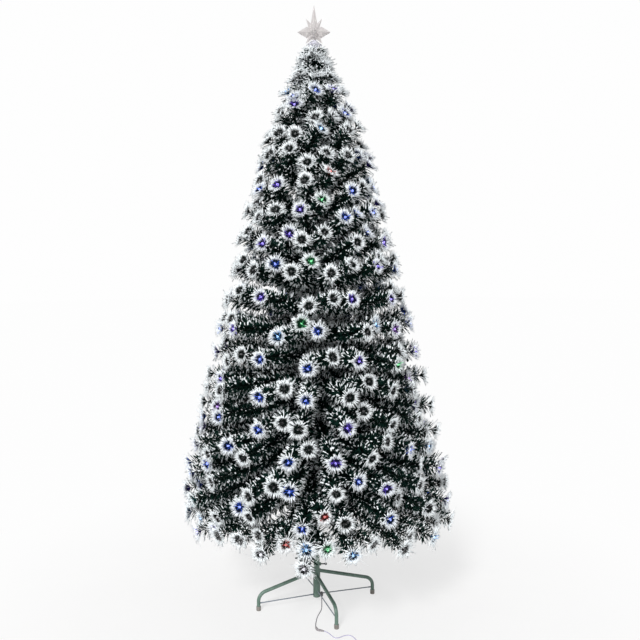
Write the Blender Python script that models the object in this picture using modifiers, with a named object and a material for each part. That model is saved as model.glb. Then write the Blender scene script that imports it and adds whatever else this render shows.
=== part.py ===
"""A fibre optic Christmas tree, 2.1 m tall, on a folding four-legged steel stand.

The tree stands on z = 0 with the pole on the z axis, +x to the right and +y to the back.
Bottle-brush stems leave the pole in tiers, and each ends in a cup with two light fibres.
"""

import math

import bmesh
import bpy
import numpy as np
from mathutils import Euler, Matrix, Vector

for leftover in list(bpy.data.objects):
    bpy.data.objects.remove(leftover, do_unlink=True)

# Clearances, in metres like every length here
GAP = 0.0003
OVERRUN = 0.003
FLOOR_AIR = 0.0001
MERGE_DISTANCE = 0.00001
SHARP_EDGE = math.radians(38)
ROUND_SIDES = 16
SMALL_SIDES = 10
ROD_SIDES = 8
NUT_SIDES = 6
ROUTE_SAMPLES = 20

# Pole, in three sections that plug together
POLE_RADIUS = 0.0093
POLE_WALL = 0.0013
SPIGOT_LENGTH = 0.040
LAST_TIER_LOWER_SECTION = 5
LAST_TIER_MIDDLE_SECTION = 12
POLE_ABOVE_LAST_TIER = 0.101

# Wiring inside the pole
BUNDLE_RADIUS = 0.003
COUPLER_LENGTH = 0.030

# Stand post and the sleeve that turns on it
POST_FOOT = 0.021
POST_WALL = 0.0014
POST_FLOOR = 0.004
RING_HEIGHT = 0.0187
RING_LIP = 0.0002
SLEEVE_HEIGHT = 0.070
SLEEVE_WALL = 0.0016

# Legs, stay rods and foot caps
FIXED_LEG_AZIMUTH = 18.1
LEG_RADIUS = 0.00635
LEG_BEND_RADIUS = 0.035
LEG_BEND_STEPS = 6
LEG_UPRIGHT_ABOVE_STAY = 0.0047
FOOT_CIRCLE_RADIUS = 0.217
FIXED_LEG_ABOVE_SLEEVE = 0.0037
TURNING_LEG_BELOW_RIM = 0.003
STAY_RADIUS = 0.002
STAY_ABOVE_SLEEVE_END = 0.0045
FIXED_STAY_FALL = 0.0034
TURNING_STAY_FALL = 0.008
CAP_WALL = 0.0014
CAP_HEIGHT = 0.016
CAP_FLOOR = 0.003
CAP_CHAMFER = 0.001

# Thumb screw and its nut on the post
SCREW_ABOVE_LEGS = 0.0166
SCREW_BELOW_RIM = 0.032
SCREW_RADIUS = 0.0024
SCREW_SHANK = 0.012
NUT_RADIUS = 0.006
NUT_LENGTH = 0.005
WING_LENGTH = 0.010
WING_SPAN = 0.016
WING_THICKNESS = 0.003
WING_ROUNDING = 0.0012

# Cable gland on the post's ring
GLAND_AZIMUTH = -20.0
GLAND_RADIUS = 0.0055
GLAND_ABOVE_POST_FOOT = 0.003
GLAND_BELOW_STAY = 0.002
GLAND_NECK_RADIUS = 0.003
GLAND_CHAMFER = 0.0015

# Foliage: tiers of stems, from the bottom tier to the top one
TIER_COUNT = 19
FIRST_TIER_HEIGHT = 0.432
TIER_AIR = 0.019
BOTTOM_REACH = 0.462
TOP_REACH = 0.047
REACH_GROWTH_SHARE = 1.3
BOTTOM_SLOPE = -11.0
TOP_SLOPE = 60.0
SLOPE_GROWTH_SHARE = 1.5
FIRST_TIER_TURN = 5.5
TIER_TURN = 137.5
TIP_SPACING = 0.155
FEWEST_STEMS = 4
COLLAR_SIDES = 10
COLLAR_EDGE = 0.0044
ROW_STAGGER = 0.005
ROOT_INSET = 0.0008
# The lowest tier's stem in front of the post hangs lower than the rest
LOW_STEM_TIER = 0
LOW_STEM_NUMBER = 13
LOW_STEM_DROOP = 6.0

# One stem: wire root, bristled sleeve, tip cup and fibres
ROOT_RADIUS = 0.0026
SLEEVE_RADIUS = 0.020
TIP_RADIUS = 0.030
CUP_FLOOR_RADIUS = 0.0045
CUP_DEPTH = 0.012
SHOULDER_SHARE = 0.62
STEM_SIDES = 5
FIBRE_LENGTH = 0.022
FIBRE_SPREAD = 0.005
NEIGHBOUR_SHARE = 0.84
LENGTH_SWAY_SHARE = 0.045
AZIMUTH_SWAY_SHARE = 0.08
AIR_SWAY_SHARE = 0.45
MOST_SLOPE_SWAY = 2.5
SWAY_STEPS = (2.4, 3.9, 5.7)

# Brush round the pole's end, under the star
LEADER_FOOT = 0.019
LEADER_RADIUS = 0.049
LEADER_HUB_RADIUS = 0.020
LEADER_RIM_RADIUS = 0.030
LEADER_WIDEST = 0.003
LEADER_RIM = 0.010

# Star and its socket
STAR_RISE = 0.055
STAR_NECK_RADIUS = 0.007
STAR_CORE_RADIUS = 0.014
PEG_RADIUS = 0.004
PEG_LENGTH = 0.012
SOCKET_GRIP = 0.0105
SOCKET_WALL = 0.002
SOCKET_TOP_RADIUS = 0.0075
SOCKET_ROOF = 0.028
SKIRT_RADIUS = 0.028
SKIRT_RISE = 0.012
SKIRT_THICKNESS = 0.0022
SPIKE_SIDES = 4
SPIKE_THICKNESS_SHARE = 0.75
# A spike's lean is its angle from straight up, its waist the distance to its widest place
TOP_SPIKE_LENGTH = 0.090
TOP_SPIKE_WAIST = 0.016
TOP_SPIKE_HALF_WIDTH = 0.013
ARM_LEAN = 90.0
ARM_LENGTH = 0.057
ARM_WAIST = 0.024
ARM_HALF_WIDTH = 0.0195
RAISED_SPIKE_LEAN = 31.0
RAISED_SPIKE_LENGTH = 0.054
RAISED_SPIKE_WAIST = 0.018
RAISED_SPIKE_HALF_WIDTH = 0.009
LOWERED_SPIKE_LEAN = 143.0
LOWERED_SPIKE_LENGTH = 0.047
LOWERED_SPIKE_WAIST = 0.017
LOWERED_SPIKE_HALF_WIDTH = 0.009
FRONT_SPIKE_LENGTH = 0.036
FRONT_SPIKE_WAIST = 0.015
FRONT_SPIKE_HALF_WIDTH = 0.011

# Cords, connector and plug
LEAD_DIAMETER = 0.0032
CORD_DIAMETER = 0.0032
CORD_STEP_SHARE = 2.9
STUB_SHARE = 0.6
CONNECTOR_X = -0.0030
CONNECTOR_Y = -0.1985
CONNECTOR_AZIMUTH = -79.0
JACK_AZIMUTH = -24.0
CONNECTOR_RADIUS = 0.0042
CONNECTOR_BEND_RADIUS = 0.007
CONNECTOR_BEND_STEPS = 4
CONNECTOR_TAPER_LENGTH = 0.010
CONNECTOR_TAPER_SHARE = 0.5
CONNECTOR_BACK = 0.0224
CONNECTOR_FRONT = 0.012
JACK_RADIUS = 0.0036
JACK_LENGTH = 0.014
JACK_TAIL_RADIUS = 0.0024

# Coil of the cord that the tree keeps under it, its tie and the adapter
COIL_CENTRE_X = 0.1660
COIL_CENTRE_Y = -0.350
COIL_MEAN_RADIUS = 0.019
COIL_LAYERS = 4
COIL_FULL_TURNS = 10
COIL_START_AZIMUTH = 197.5
COIL_END_AZIMUTH = 270.0
COIL_GAP = 0.0005
POINTS_PER_TURN = 24
TIE_AZIMUTH = 45.0
TIE_THICKNESS = 0.0008
TIE_WIDTH = 0.006
ADAPTER_BEYOND_COIL = 0.030
RELIEF_LENGTH = 0.020
RELIEF_RADIUS = 0.0048
RELIEF_NOSE_RADIUS = 0.0026
ADAPTER_LENGTH = 0.062
ADAPTER_WIDTH = 0.040
ADAPTER_HEIGHT = 0.030
ADAPTER_ROUNDING = 0.004
BLADE_LENGTH = 0.017
BLADE_WIDTH = 0.0063
BLADE_THICKNESS = 0.0015
BLADE_SPACING = 0.0127

# Routes of the free cords, chosen by hand between their two ends
LEAD_ROUTE = [
    (0.0177, -0.0098, 0.0115),
    (0.0178, -0.0175, 0.0046),
    (0.0180, -0.0290, 0.0018),
    (0.0178, -0.0480, 0.0017),
    (0.0158, -0.0697, 0.0017),
    (0.0108, -0.0900, 0.0017),
    (0.0052, -0.1112, 0.0017),
    (0.0012, -0.1310, 0.0017),
    (-0.0012, -0.1509, 0.0017),
    (-0.0028, -0.1700, 0.0020),
    (-0.0035, -0.1850, 0.0031),
]
CORD_ROUTE = [
    (0.0335, -0.2360, 0.0036),
    (0.0440, -0.2470, 0.0022),
    (0.0535, -0.2640, 0.0017),
    (0.0640, -0.2745, 0.0017),
    (0.0775, -0.2695, 0.0017),
    (0.0930, -0.2580, 0.0017),
    (0.1078, -0.2555, 0.0017),
    (0.1195, -0.2645, 0.0017),
    (0.1290, -0.2850, 0.0017),
    (0.1352, -0.3100, 0.0017),
    (0.1395, -0.3320, 0.0021),
]

# Finishes: base colour, roughness, metallic
GREY_STEEL = ((0.30, 0.33, 0.31), 0.45, 0.0)
GREEN_STEEL = ((0.06, 0.16, 0.09), 0.5, 0.0)
DARK_STEEL = ((0.10, 0.10, 0.105), 0.35, 1.0)
GREY_PLASTIC = ((0.30, 0.31, 0.33), 0.5, 0.0)
PALE_PLASTIC = ((0.80, 0.78, 0.84), 0.4, 0.0)
DARK_PLASTIC = ((0.05, 0.05, 0.055), 0.45, 0.0)
CLEAR_PLASTIC = ((0.82, 0.84, 0.86), 0.12, 0.0)
FOLIAGE = ((0.07, 0.15, 0.09), 0.7, 0.0)

# Sizes that follow from those above
PI = math.pi
POLE_BORE = POLE_RADIUS - POLE_WALL
SPIGOT_RADIUS = POLE_BORE - GAP
SPIGOT_BORE = SPIGOT_RADIUS - POLE_WALL
POST_BORE = POLE_RADIUS + GAP
POST_RADIUS = POST_BORE + POST_WALL
RING_TOP = POST_FOOT + RING_HEIGHT
SLEEVE_FOOT = RING_TOP + GAP
SLEEVE_TOP = SLEEVE_FOOT + SLEEVE_HEIGHT
SLEEVE_BORE = POST_RADIUS + GAP
SLEEVE_OUTSIDE = SLEEVE_BORE + SLEEVE_WALL
RING_RADIUS = SLEEVE_OUTSIDE + RING_LIP
FIXED_LEG_HEIGHT = SLEEVE_TOP + FIXED_LEG_ABOVE_SLEEVE + LEG_RADIUS
TURNING_LEG_HEIGHT = SLEEVE_TOP - TURNING_LEG_BELOW_RIM - LEG_RADIUS
TURNING_LEG_AZIMUTH = FIXED_LEG_AZIMUTH - 90
SCREW_HEIGHT = FIXED_LEG_HEIGHT + LEG_RADIUS + SCREW_ABOVE_LEGS
POST_TOP = SCREW_HEIGHT + SCREW_BELOW_RIM
LEG_END = CAP_FLOOR + GAP
FIXED_STAY_HEIGHT = POST_FOOT + RING_HEIGHT / 2
TURNING_STAY_HEIGHT = SLEEVE_FOOT + STAY_ABOVE_SLEEVE_END
GLAND_FOOT = POST_FOOT + GLAND_ABOVE_POST_FOOT
GLAND_TOP = TURNING_STAY_HEIGHT - STAY_RADIUS - GLAND_BELOW_STAY
POLE_FOOT = POST_FOOT + POST_FLOOR + GAP
TIER_PITCH = TIP_RADIUS * 2 + TIER_AIR
LAST_TIER_HEIGHT = FIRST_TIER_HEIGHT + (TIER_COUNT - 1) * TIER_PITCH
LOWER_JOINT = FIRST_TIER_HEIGHT + (LAST_TIER_LOWER_SECTION + 0.5) * TIER_PITCH
UPPER_JOINT = FIRST_TIER_HEIGHT + (LAST_TIER_MIDDLE_SECTION + 0.5) * TIER_PITCH
POLE_TOP = LAST_TIER_HEIGHT + POLE_ABOVE_LAST_TIER
STAR_CENTRE = POLE_TOP + STAR_RISE
COLLAR_BORE = (POLE_RADIUS + GAP) / math.cos(PI / COLLAR_SIDES)
COLLAR_RADIUS = COLLAR_BORE + (ROOT_INSET + ROOT_RADIUS * math.sin(math.radians(TOP_SLOPE))) * 2
COLLAR_HALF_HEIGHT = ROW_STAGGER + ROOT_RADIUS + COLLAR_EDGE
SOCKET_RADIUS = POLE_RADIUS + GAP + SOCKET_WALL
COIL_PITCH = CORD_DIAMETER + COIL_GAP
COIL_TURNS = COIL_FULL_TURNS + (COIL_END_AZIMUTH - COIL_START_AZIMUTH) / 360
TURNS_PER_LAYER = COIL_TURNS / COIL_LAYERS
COIL_OUTER_RADIUS = COIL_MEAN_RADIUS + TURNS_PER_LAYER * COIL_PITCH / 2
COIL_INNER_RADIUS = COIL_MEAN_RADIUS - TURNS_PER_LAYER * COIL_PITCH / 2
COIL_LOWEST = TIE_THICKNESS + GAP + CORD_DIAMETER / 2
COIL_HIGHEST = COIL_LOWEST + (COIL_LAYERS - 1) * COIL_PITCH

tree = bpy.data.collections.new("fibre_optic_christmas_tree")
cutters = bpy.data.collections.new("cutters")
bpy.context.scene.collection.children.link(tree)
bpy.context.scene.collection.children.link(cutters)


# Helpers: finishes, parents, and shapes


def give_finish(piece, finish):
    """Give a piece its own Principled material."""
    colour, roughness, metallic = finish
    material = bpy.data.materials.new(piece.name + "_finish")
    material.use_nodes = True
    shader = material.node_tree.nodes["Principled BSDF"]
    shader.inputs["Base Color"].default_value = (*colour, 1.0)
    shader.inputs["Roughness"].default_value = roughness
    shader.inputs["Metallic"].default_value = metallic
    piece.data.materials.clear()
    piece.data.materials.append(material)


def joint_axis(name, height):
    """An empty on the pole's axis that carries the pieces of one moving group."""
    empty = bpy.data.objects.new(name, None)
    empty.location = (0, 0, height)
    tree.objects.link(empty)
    return empty


def hang(piece, empty):
    """Parent a piece, placed in the world, to an empty on the pole's axis."""
    piece.parent = empty
    piece.location = Vector(piece.location) - Vector(empty.location)
    return piece


def settle(piece):
    """Replace a piece by the plain mesh of its evaluated shape, welded and shaded smooth."""
    bpy.context.view_layer.update()
    graph = bpy.context.evaluated_depsgraph_get()
    mesh = bpy.data.meshes.new_from_object(piece.evaluated_get(graph))
    name = piece.name
    matrix = piece.matrix_world.copy()
    bpy.data.objects.remove(piece, do_unlink=True)
    work = bmesh.new()
    work.from_mesh(mesh)
    bmesh.ops.remove_doubles(work, verts=work.verts, dist=MERGE_DISTANCE)
    work.to_mesh(mesh)
    work.free()
    mesh.shade_smooth()
    mesh.set_sharp_from_angle(angle=SHARP_EDGE)
    solid = bpy.data.objects.new(name, mesh)
    solid.matrix_world = matrix
    tree.objects.link(solid)
    return solid


def turned(name, profile, sides, closed=False):
    """Turn a profile of (radius, height) points round the z axis."""
    mesh = bpy.data.meshes.new(name)
    points = [(radius, 0, height) for radius, height in profile]
    edges = [(index, index + 1) for index in range(len(points) - 1)]
    if closed:
        edges.append((len(points) - 1, 0))
    mesh.from_pydata(points, edges, [])
    piece = bpy.data.objects.new(name, mesh)
    tree.objects.link(piece)
    screw = piece.modifiers.new("turn", "SCREW")
    screw.steps = sides
    screw.render_steps = sides
    screw.use_merge_vertices = True
    screw.merge_threshold = MERGE_DISTANCE
    return settle(piece)


def ring(name, bore, outside, foot, top, sides=ROUND_SIDES):
    """A plain tube from foot to top."""
    profile = [(bore, foot), (bore, top), (outside, top), (outside, foot)]
    return turned(name, profile, sides, closed=True)


def rod(name, radius, foot, top, sides=SMALL_SIDES):
    """A plain solid bar from foot to top."""
    return turned(name, [(0, top), (radius, top), (radius, foot), (0, foot)], sides)


def box(name, size, centre):
    """A block of the given size round its centre."""
    bpy.ops.mesh.primitive_cube_add(size=1, location=(0, 0, 0))
    piece = bpy.context.object
    for collection in list(piece.users_collection):
        collection.objects.unlink(piece)
    tree.objects.link(piece)
    piece.name = name
    piece.data.name = name
    piece.data.transform(Matrix.Translation(centre) @ Matrix.Diagonal((*size, 1)))
    return piece


def rounded(piece, width, segments=2):
    """Round every edge of a block."""
    bevel = piece.modifiers.new("rounding", "BEVEL")
    bevel.width = width
    bevel.segments = segments
    bevel.limit_method = "ANGLE"
    return settle(piece)


def tube(name, points, diameter, smoothness=2):
    """A solid round bar along a row of points, as a curve with filled caps."""
    curve = bpy.data.curves.new(name, "CURVE")
    curve.dimensions = "3D"
    curve.resolution_u = 1
    curve.render_resolution_u = 0
    curve.bevel_depth = diameter / 2
    curve.bevel_resolution = smoothness
    curve.use_fill_caps = True
    spline = curve.splines.new("POLY")
    spline.points.add(len(points) - 1)
    for target, point in zip(spline.points, points):
        target.co = (*point, 1)
    piece = bpy.data.objects.new(name, curve)
    tree.objects.link(piece)
    return piece


def combine(piece, tool, operation):
    """Join or cut a piece with another solid, which is used up."""
    change = piece.modifiers.new("combine", "BOOLEAN")
    change.operation = operation
    change.object = tool
    change.solver = "EXACT"
    solid = settle(piece)
    bpy.data.objects.remove(tool, do_unlink=True)
    return solid


def cut_by(piece, cutter):
    """Cut a piece with a cutter that stays in the file, hidden."""
    change = piece.modifiers.new("cut", "BOOLEAN")
    change.operation = "DIFFERENCE"
    change.object = cutter
    change.solver = "EXACT"


def as_cutter(piece):
    """Keep a solid as a hidden cutter."""
    tree.objects.unlink(piece)
    cutters.objects.link(piece)
    piece.hide_render = True
    piece.display_type = "WIRE"
    return piece


def lay(piece, axis, place):
    """Turn a piece made along +z so that it points along an axis, and move it to its place."""
    turn = Vector(axis).to_track_quat("Z", "Y").to_matrix().to_4x4()
    piece.data.transform(Matrix.Translation(place) @ turn)
    return piece


def outward(azimuth):
    """The level direction away from the pole at an azimuth in degrees."""
    angle = math.radians(azimuth)
    return Vector((math.cos(angle), math.sin(angle), 0))


# Stand: post, turning sleeve, legs, stay rods, foot caps


def stand_post():
    """Post with its bottom ring, the nut for the thumb screw, and the holes for screw and gland."""
    profile = [
        (0, POST_FOOT + POST_FLOOR),
        (POST_BORE, POST_FOOT + POST_FLOOR),
        (POST_BORE, POST_TOP),
        (POST_RADIUS, POST_TOP),
        (POST_RADIUS, RING_TOP),
        (RING_RADIUS, RING_TOP),
        (RING_RADIUS, POST_FOOT),
        (0, POST_FOOT),
    ]
    post = turned("stand_post", profile, ROUND_SIDES)
    nut = rod("nut", NUT_RADIUS, 0, NUT_LENGTH + POST_WALL / 2, NUT_SIDES)
    lay(nut, (1, 0, 0), (POST_RADIUS - POST_WALL / 2, 0, SCREW_HEIGHT))
    post = combine(post, nut, "UNION")
    drill = rod("drill", SCREW_RADIUS + GAP, 0, POST_WALL + NUT_LENGTH + OVERRUN + OVERRUN)
    lay(drill, (1, 0, 0), (POST_BORE - OVERRUN, 0, SCREW_HEIGHT))
    post = combine(post, drill, "DIFFERENCE")
    drill = rod("drill", GLAND_NECK_RADIUS + GAP, 0, RING_RADIUS)
    lay(drill, outward(GLAND_AZIMUTH), outward(GLAND_AZIMUTH) * (POST_BORE - OVERRUN) + gland_height())
    post = combine(post, drill, "DIFFERENCE")
    give_finish(post, GREY_STEEL)


def gland_height():
    """The height of the gland's neck, as a vector: the middle of the post's ring."""
    return Vector((0, 0, POST_FOOT + RING_HEIGHT / 2))


def leg(name, hub_height, stay_height, azimuth, cutter):
    """One leg: a straight run from the hub, a bend that it meets smoothly, and an upright end."""
    upright_top = stay_height + STAY_RADIUS + LEG_UPRIGHT_ABOVE_STAY
    centre = Vector((FOOT_CIRCLE_RADIUS - LEG_BEND_RADIUS, 0, upright_top))
    hub = Vector((0, 0, hub_height))
    to_hub = hub - centre
    meeting = math.atan2(to_hub.z, to_hub.x) - math.acos(LEG_BEND_RADIUS / to_hub.length)
    points = []
    for step in range(LEG_BEND_STEPS + 1):
        angle = meeting * (1 - step / LEG_BEND_STEPS)
        points.append(centre + Vector((math.cos(angle), 0, math.sin(angle))) * LEG_BEND_RADIUS)
    start = hub + (points[0] - hub).normalized() * (LEG_RADIUS / 2)
    end = Vector((FOOT_CIRCLE_RADIUS, 0, LEG_END))
    piece = settle(tube(name, [start] + points + [end], LEG_RADIUS * 2))
    piece.rotation_euler = Euler((0, 0, math.radians(azimuth)))
    cut_by(piece, cutter)
    give_finish(piece, GREY_STEEL)
    return piece


def stay(name, hub_radius, hub_height, leg_height, azimuth):
    """One stay rod from the hub, falling a little, to the upright end of a leg."""
    start = Vector((hub_radius + GAP, 0, hub_height))
    end = Vector((FOOT_CIRCLE_RADIUS - LEG_RADIUS - GAP, 0, leg_height))
    piece = rod(name, STAY_RADIUS, 0, (end - start).length, ROD_SIDES)
    lay(piece, end - start, start)
    piece.rotation_euler = Euler((0, 0, math.radians(azimuth)))
    give_finish(piece, GREY_STEEL)
    return piece


def foot_cap(name, azimuth):
    """One plastic cup that closes a leg and stands on the floor."""
    bore = (LEG_RADIUS + GAP) / math.cos(PI / SMALL_SIDES)
    outside = bore + CAP_WALL
    profile = [
        (0, CAP_FLOOR),
        (bore, CAP_FLOOR),
        (bore, CAP_HEIGHT),
        (outside, CAP_HEIGHT),
        (outside, CAP_CHAMFER),
        (outside - CAP_CHAMFER, 0),
        (0, 0),
    ]
    piece = turned(name, profile, SMALL_SIDES)
    piece.location = outward(azimuth) * FOOT_CIRCLE_RADIUS
    give_finish(piece, GREY_PLASTIC)
    return piece


def stand():
    """The stand's fixed pair of legs, and the pair that turns with its sleeve."""
    stand_post()
    post_cutter = as_cutter(rod("post_cutter", POST_RADIUS + GAP, 0, POST_TOP, ROUND_SIDES))
    sleeve_cutter = as_cutter(
        rod("sleeve_cutter", SLEEVE_OUTSIDE + GAP, 0, POST_TOP, ROUND_SIDES)
    )
    low_end = FIXED_STAY_HEIGHT - FIXED_STAY_FALL
    for side, azimuth in (("right", FIXED_LEG_AZIMUTH), ("left", FIXED_LEG_AZIMUTH + 180)):
        leg("leg_" + side, FIXED_LEG_HEIGHT, low_end, azimuth, post_cutter)
        stay("stay_rod_" + side, RING_RADIUS, FIXED_STAY_HEIGHT, low_end, azimuth)
        foot_cap("foot_cap_" + side, azimuth)
    axis = joint_axis("turning_leg_pair", 0)
    sleeve = ring("turning_sleeve", SLEEVE_BORE, SLEEVE_OUTSIDE, SLEEVE_FOOT, SLEEVE_TOP)
    give_finish(sleeve, GREY_STEEL)
    hang(sleeve, axis)
    low_end = TURNING_STAY_HEIGHT - TURNING_STAY_FALL
    for side, azimuth in (("front", TURNING_LEG_AZIMUTH), ("back", TURNING_LEG_AZIMUTH + 180)):
        hang(leg("leg_" + side, TURNING_LEG_HEIGHT, low_end, azimuth, sleeve_cutter), axis)
        hang(stay("stay_rod_" + side, SLEEVE_OUTSIDE, TURNING_STAY_HEIGHT, low_end, azimuth), axis)
        hang(foot_cap("foot_cap_" + side, azimuth), axis)


def thumb_screw():
    """Wing screw that presses on the pole through the post's nut; it points along +x."""
    start = POLE_RADIUS + GAP
    wing_start = POST_RADIUS + NUT_LENGTH + SCREW_SHANK
    screw = rod("thumb_screw", SCREW_RADIUS, 0, wing_start + WING_LENGTH / 2 - start)
    wing = box("wing", (WING_SPAN, WING_THICKNESS, WING_LENGTH),
               (0, 0, wing_start + WING_LENGTH / 2 - start))
    screw = combine(screw, rounded(wing, WING_ROUNDING), "UNION")
    lay(screw, (1, 0, 0), (start, 0, 0))
    screw.location = (0, 0, SCREW_HEIGHT)
    give_finish(screw, DARK_STEEL)


def gland_axis():
    """Where the gland's upright axis stands beside the post's ring."""
    return outward(GLAND_AZIMUTH) * (RING_RADIUS + GAP + GLAND_RADIUS)


def cable_gland():
    """Round strain relief beside the hub, with a neck into the post's ring."""
    profile = [
        (0, GLAND_TOP),
        (GLAND_RADIUS - GLAND_CHAMFER, GLAND_TOP),
        (GLAND_RADIUS, GLAND_TOP - GLAND_CHAMFER),
        (GLAND_RADIUS, GLAND_FOOT + GLAND_CHAMFER * 2),
        (GLAND_RADIUS - GLAND_CHAMFER, GLAND_FOOT),
        (0, GLAND_FOOT),
    ]
    gland = turned("cable_gland", profile, SMALL_SIDES)
    gland.data.transform(Matrix.Translation(gland_axis()))
    neck_length = RING_RADIUS - POST_RADIUS + POST_WALL / 2 + GLAND_RADIUS
    neck = rod("neck", GLAND_NECK_RADIUS, 0, neck_length)
    direction = outward(GLAND_AZIMUTH)
    lay(neck, direction, direction * (POST_RADIUS - POST_WALL / 2) + gland_height())
    gland = combine(gland, neck, "UNION")
    give_finish(gland, GREY_PLASTIC)


# Pole sections and the wiring inside them


def pole_section(name, foot, top, axis_name):
    """A section that stands on the one below, with a reduced spigot where there is one."""
    if name == "pole_lower":
        profile = [(POLE_BORE, foot), (POLE_BORE, top), (POLE_RADIUS, top), (POLE_RADIUS, foot)]
    else:
        profile = [
            (SPIGOT_BORE, foot - SPIGOT_LENGTH),
            (SPIGOT_BORE, foot + POLE_WALL),
            (POLE_BORE, foot + POLE_WALL),
            (POLE_BORE, top),
            (POLE_RADIUS, top),
            (POLE_RADIUS, foot),
            (SPIGOT_RADIUS, foot),
            (SPIGOT_RADIUS, foot - SPIGOT_LENGTH),
        ]
    piece = turned(name, profile, ROUND_SIDES, closed=True)
    give_finish(piece, GREEN_STEEL)
    axis = joint_axis(axis_name, foot)
    return hang(piece, axis).parent


def harness(name, foot, top, axis, foot_radius):
    """A bundle of wires with a coupler at each end that fills the bore there."""
    head_radius = POLE_BORE - GAP
    profile = [
        (0, top),
        (head_radius, top),
        (head_radius, top - COUPLER_LENGTH),
        (BUNDLE_RADIUS, top - COUPLER_LENGTH),
        (BUNDLE_RADIUS, foot + COUPLER_LENGTH),
        (foot_radius, foot + COUPLER_LENGTH),
        (foot_radius, foot),
        (0, foot),
    ]
    piece = turned(name, profile, ROD_SIDES)
    give_finish(piece, DARK_PLASTIC)
    hang(piece, axis)


def pole():
    """Three pole sections with their wiring, each section on its own axis."""
    lower = pole_section("pole_lower", POLE_FOOT, LOWER_JOINT, "lower_section")
    middle = pole_section("pole_middle", LOWER_JOINT + GAP, UPPER_JOINT, "middle_section")
    upper = pole_section("pole_upper", UPPER_JOINT + GAP, POLE_TOP, "upper_section")
    lower_end = LOWER_JOINT + GAP - SPIGOT_LENGTH
    upper_end = UPPER_JOINT + GAP - SPIGOT_LENGTH
    harness("wiring_lower", POLE_FOOT, lower_end - GAP, lower, POLE_BORE - GAP)
    harness("wiring_middle", lower_end, upper_end - GAP, middle, SPIGOT_BORE - GAP)
    harness("wiring_upper", upper_end, POLE_TOP - GAP, upper, SPIGOT_BORE - GAP)
    return lower, middle, upper


# Foliage


def tier_shape(index):
    """Height, slope in degrees, reach and stem count of one tier."""
    share = index / (TIER_COUNT - 1)
    height = FIRST_TIER_HEIGHT + index * TIER_PITCH
    slope = BOTTOM_SLOPE + (TOP_SLOPE - BOTTOM_SLOPE) * share ** SLOPE_GROWTH_SHARE
    reach = BOTTOM_REACH - (BOTTOM_REACH - TOP_REACH) * share ** REACH_GROWTH_SHARE
    pairs = round(PI * reach / TIP_SPACING)
    return height, slope, reach, max(FEWEST_STEMS, 2 * pairs)


def sway(number, kind):
    """A steady, repeatable variation between -1 and 1."""
    return math.sin(SWAY_STEPS[kind] * number)


def stem_solid(length, shoulder):
    """One stem along +z: root, sleeve, tip cup and two fibres raised from the cup's floor."""
    profile = [
        (0, length - CUP_DEPTH),
        (CUP_FLOOR_RADIUS, length - CUP_DEPTH),
        (TIP_RADIUS, length),
        (SLEEVE_RADIUS, shoulder),
        (ROOT_RADIUS, 0),
        (0, 0),
    ]
    stem = turned("stem", profile, STEM_SIDES)
    work = bmesh.new()
    work.from_mesh(stem.data)
    floor = [
        face
        for face in work.faces
        if all(abs(vertex.co.z - length + CUP_DEPTH) < MERGE_DISTANCE for vertex in face.verts)
    ]
    floor.sort(key=lambda face: math.atan2(face.calc_center_median().y, face.calc_center_median().x))
    fibres = [floor[0], floor[len(floor) // 2]]
    for tip in bmesh.ops.poke(work, faces=fibres)["verts"]:
        away = Vector((tip.co.x, tip.co.y, 0)).normalized()
        tip.co += away * FIBRE_SPREAD + Vector((0, 0, FIBRE_LENGTH))
    work.to_mesh(stem.data)
    work.free()
    return stem


def tier(index, axis):
    """A collar on the pole with its stems, joined into one solid."""
    height, slope, reach, count = tier_shape(index)
    spacing = 2 * PI / count
    start = COLLAR_BORE + ROOT_INSET + ROOT_RADIUS * math.sin(math.radians(abs(slope)))
    clear = SLEEVE_RADIUS / math.sin(NEIGHBOUR_SHARE * PI / count)
    slope_sway = min(math.radians(MOST_SLOPE_SWAY), AIR_SWAY_SHARE * TIER_AIR / reach)
    joined = bmesh.new()
    for number in range(count):
        half = number % (count // 2)
        seed = half + index * count
        angle = spacing * (number + AZIMUTH_SWAY_SHARE * sway(seed, 0))
        tilt = math.radians(slope) + slope_sway * sway(seed, 1)
        if (index, number) == (LOW_STEM_TIER, LOW_STEM_NUMBER):
            tilt -= math.radians(LOW_STEM_DROOP)
        tip = reach * (1 + LENGTH_SWAY_SHARE * sway(seed, 2))
        length = (tip - start) / math.cos(tilt)
        shoulder = min((clear - start) / math.cos(tilt), SHOULDER_SHARE * length)
        stem = stem_solid(length, shoulder)
        stagger = ROW_STAGGER if number % 2 else -ROW_STAGGER
        turn = Matrix.Rotation(angle, 4, "Z") @ Matrix.Rotation(PI / 2 - tilt, 4, "Y")
        root = Matrix.Rotation(angle, 4, "Z") @ Vector((start, 0, stagger))
        stem.data.transform(Matrix.Translation(root) @ turn)
        joined.from_mesh(stem.data)
        bpy.data.objects.remove(stem, do_unlink=True)
    mesh = bpy.data.meshes.new("stems")
    joined.to_mesh(mesh)
    joined.free()
    stems = bpy.data.objects.new("stems", mesh)
    tree.objects.link(stems)
    name = f"branch_tier_{index + 1:02d}"
    half_height = COLLAR_HALF_HEIGHT
    collar = ring(name, COLLAR_BORE, COLLAR_RADIUS, -half_height, half_height, COLLAR_SIDES)
    piece = combine(collar, stems, "UNION")
    piece.location = (0, 0, height)
    turn = math.radians(FIRST_TIER_TURN + TIER_TURN * index)
    piece.rotation_euler = Euler((0, 0, turn))
    give_finish(piece, FOLIAGE)
    hang(piece, axis)


def foliage(lower, middle, upper):
    """All tiers, each on the pole section that carries it."""
    for index in range(TIER_COUNT):
        if index <= LAST_TIER_LOWER_SECTION:
            tier(index, lower)
        elif index <= LAST_TIER_MIDDLE_SECTION:
            tier(index, middle)
        else:
            tier(index, upper)
    leader_brush(upper)


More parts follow.
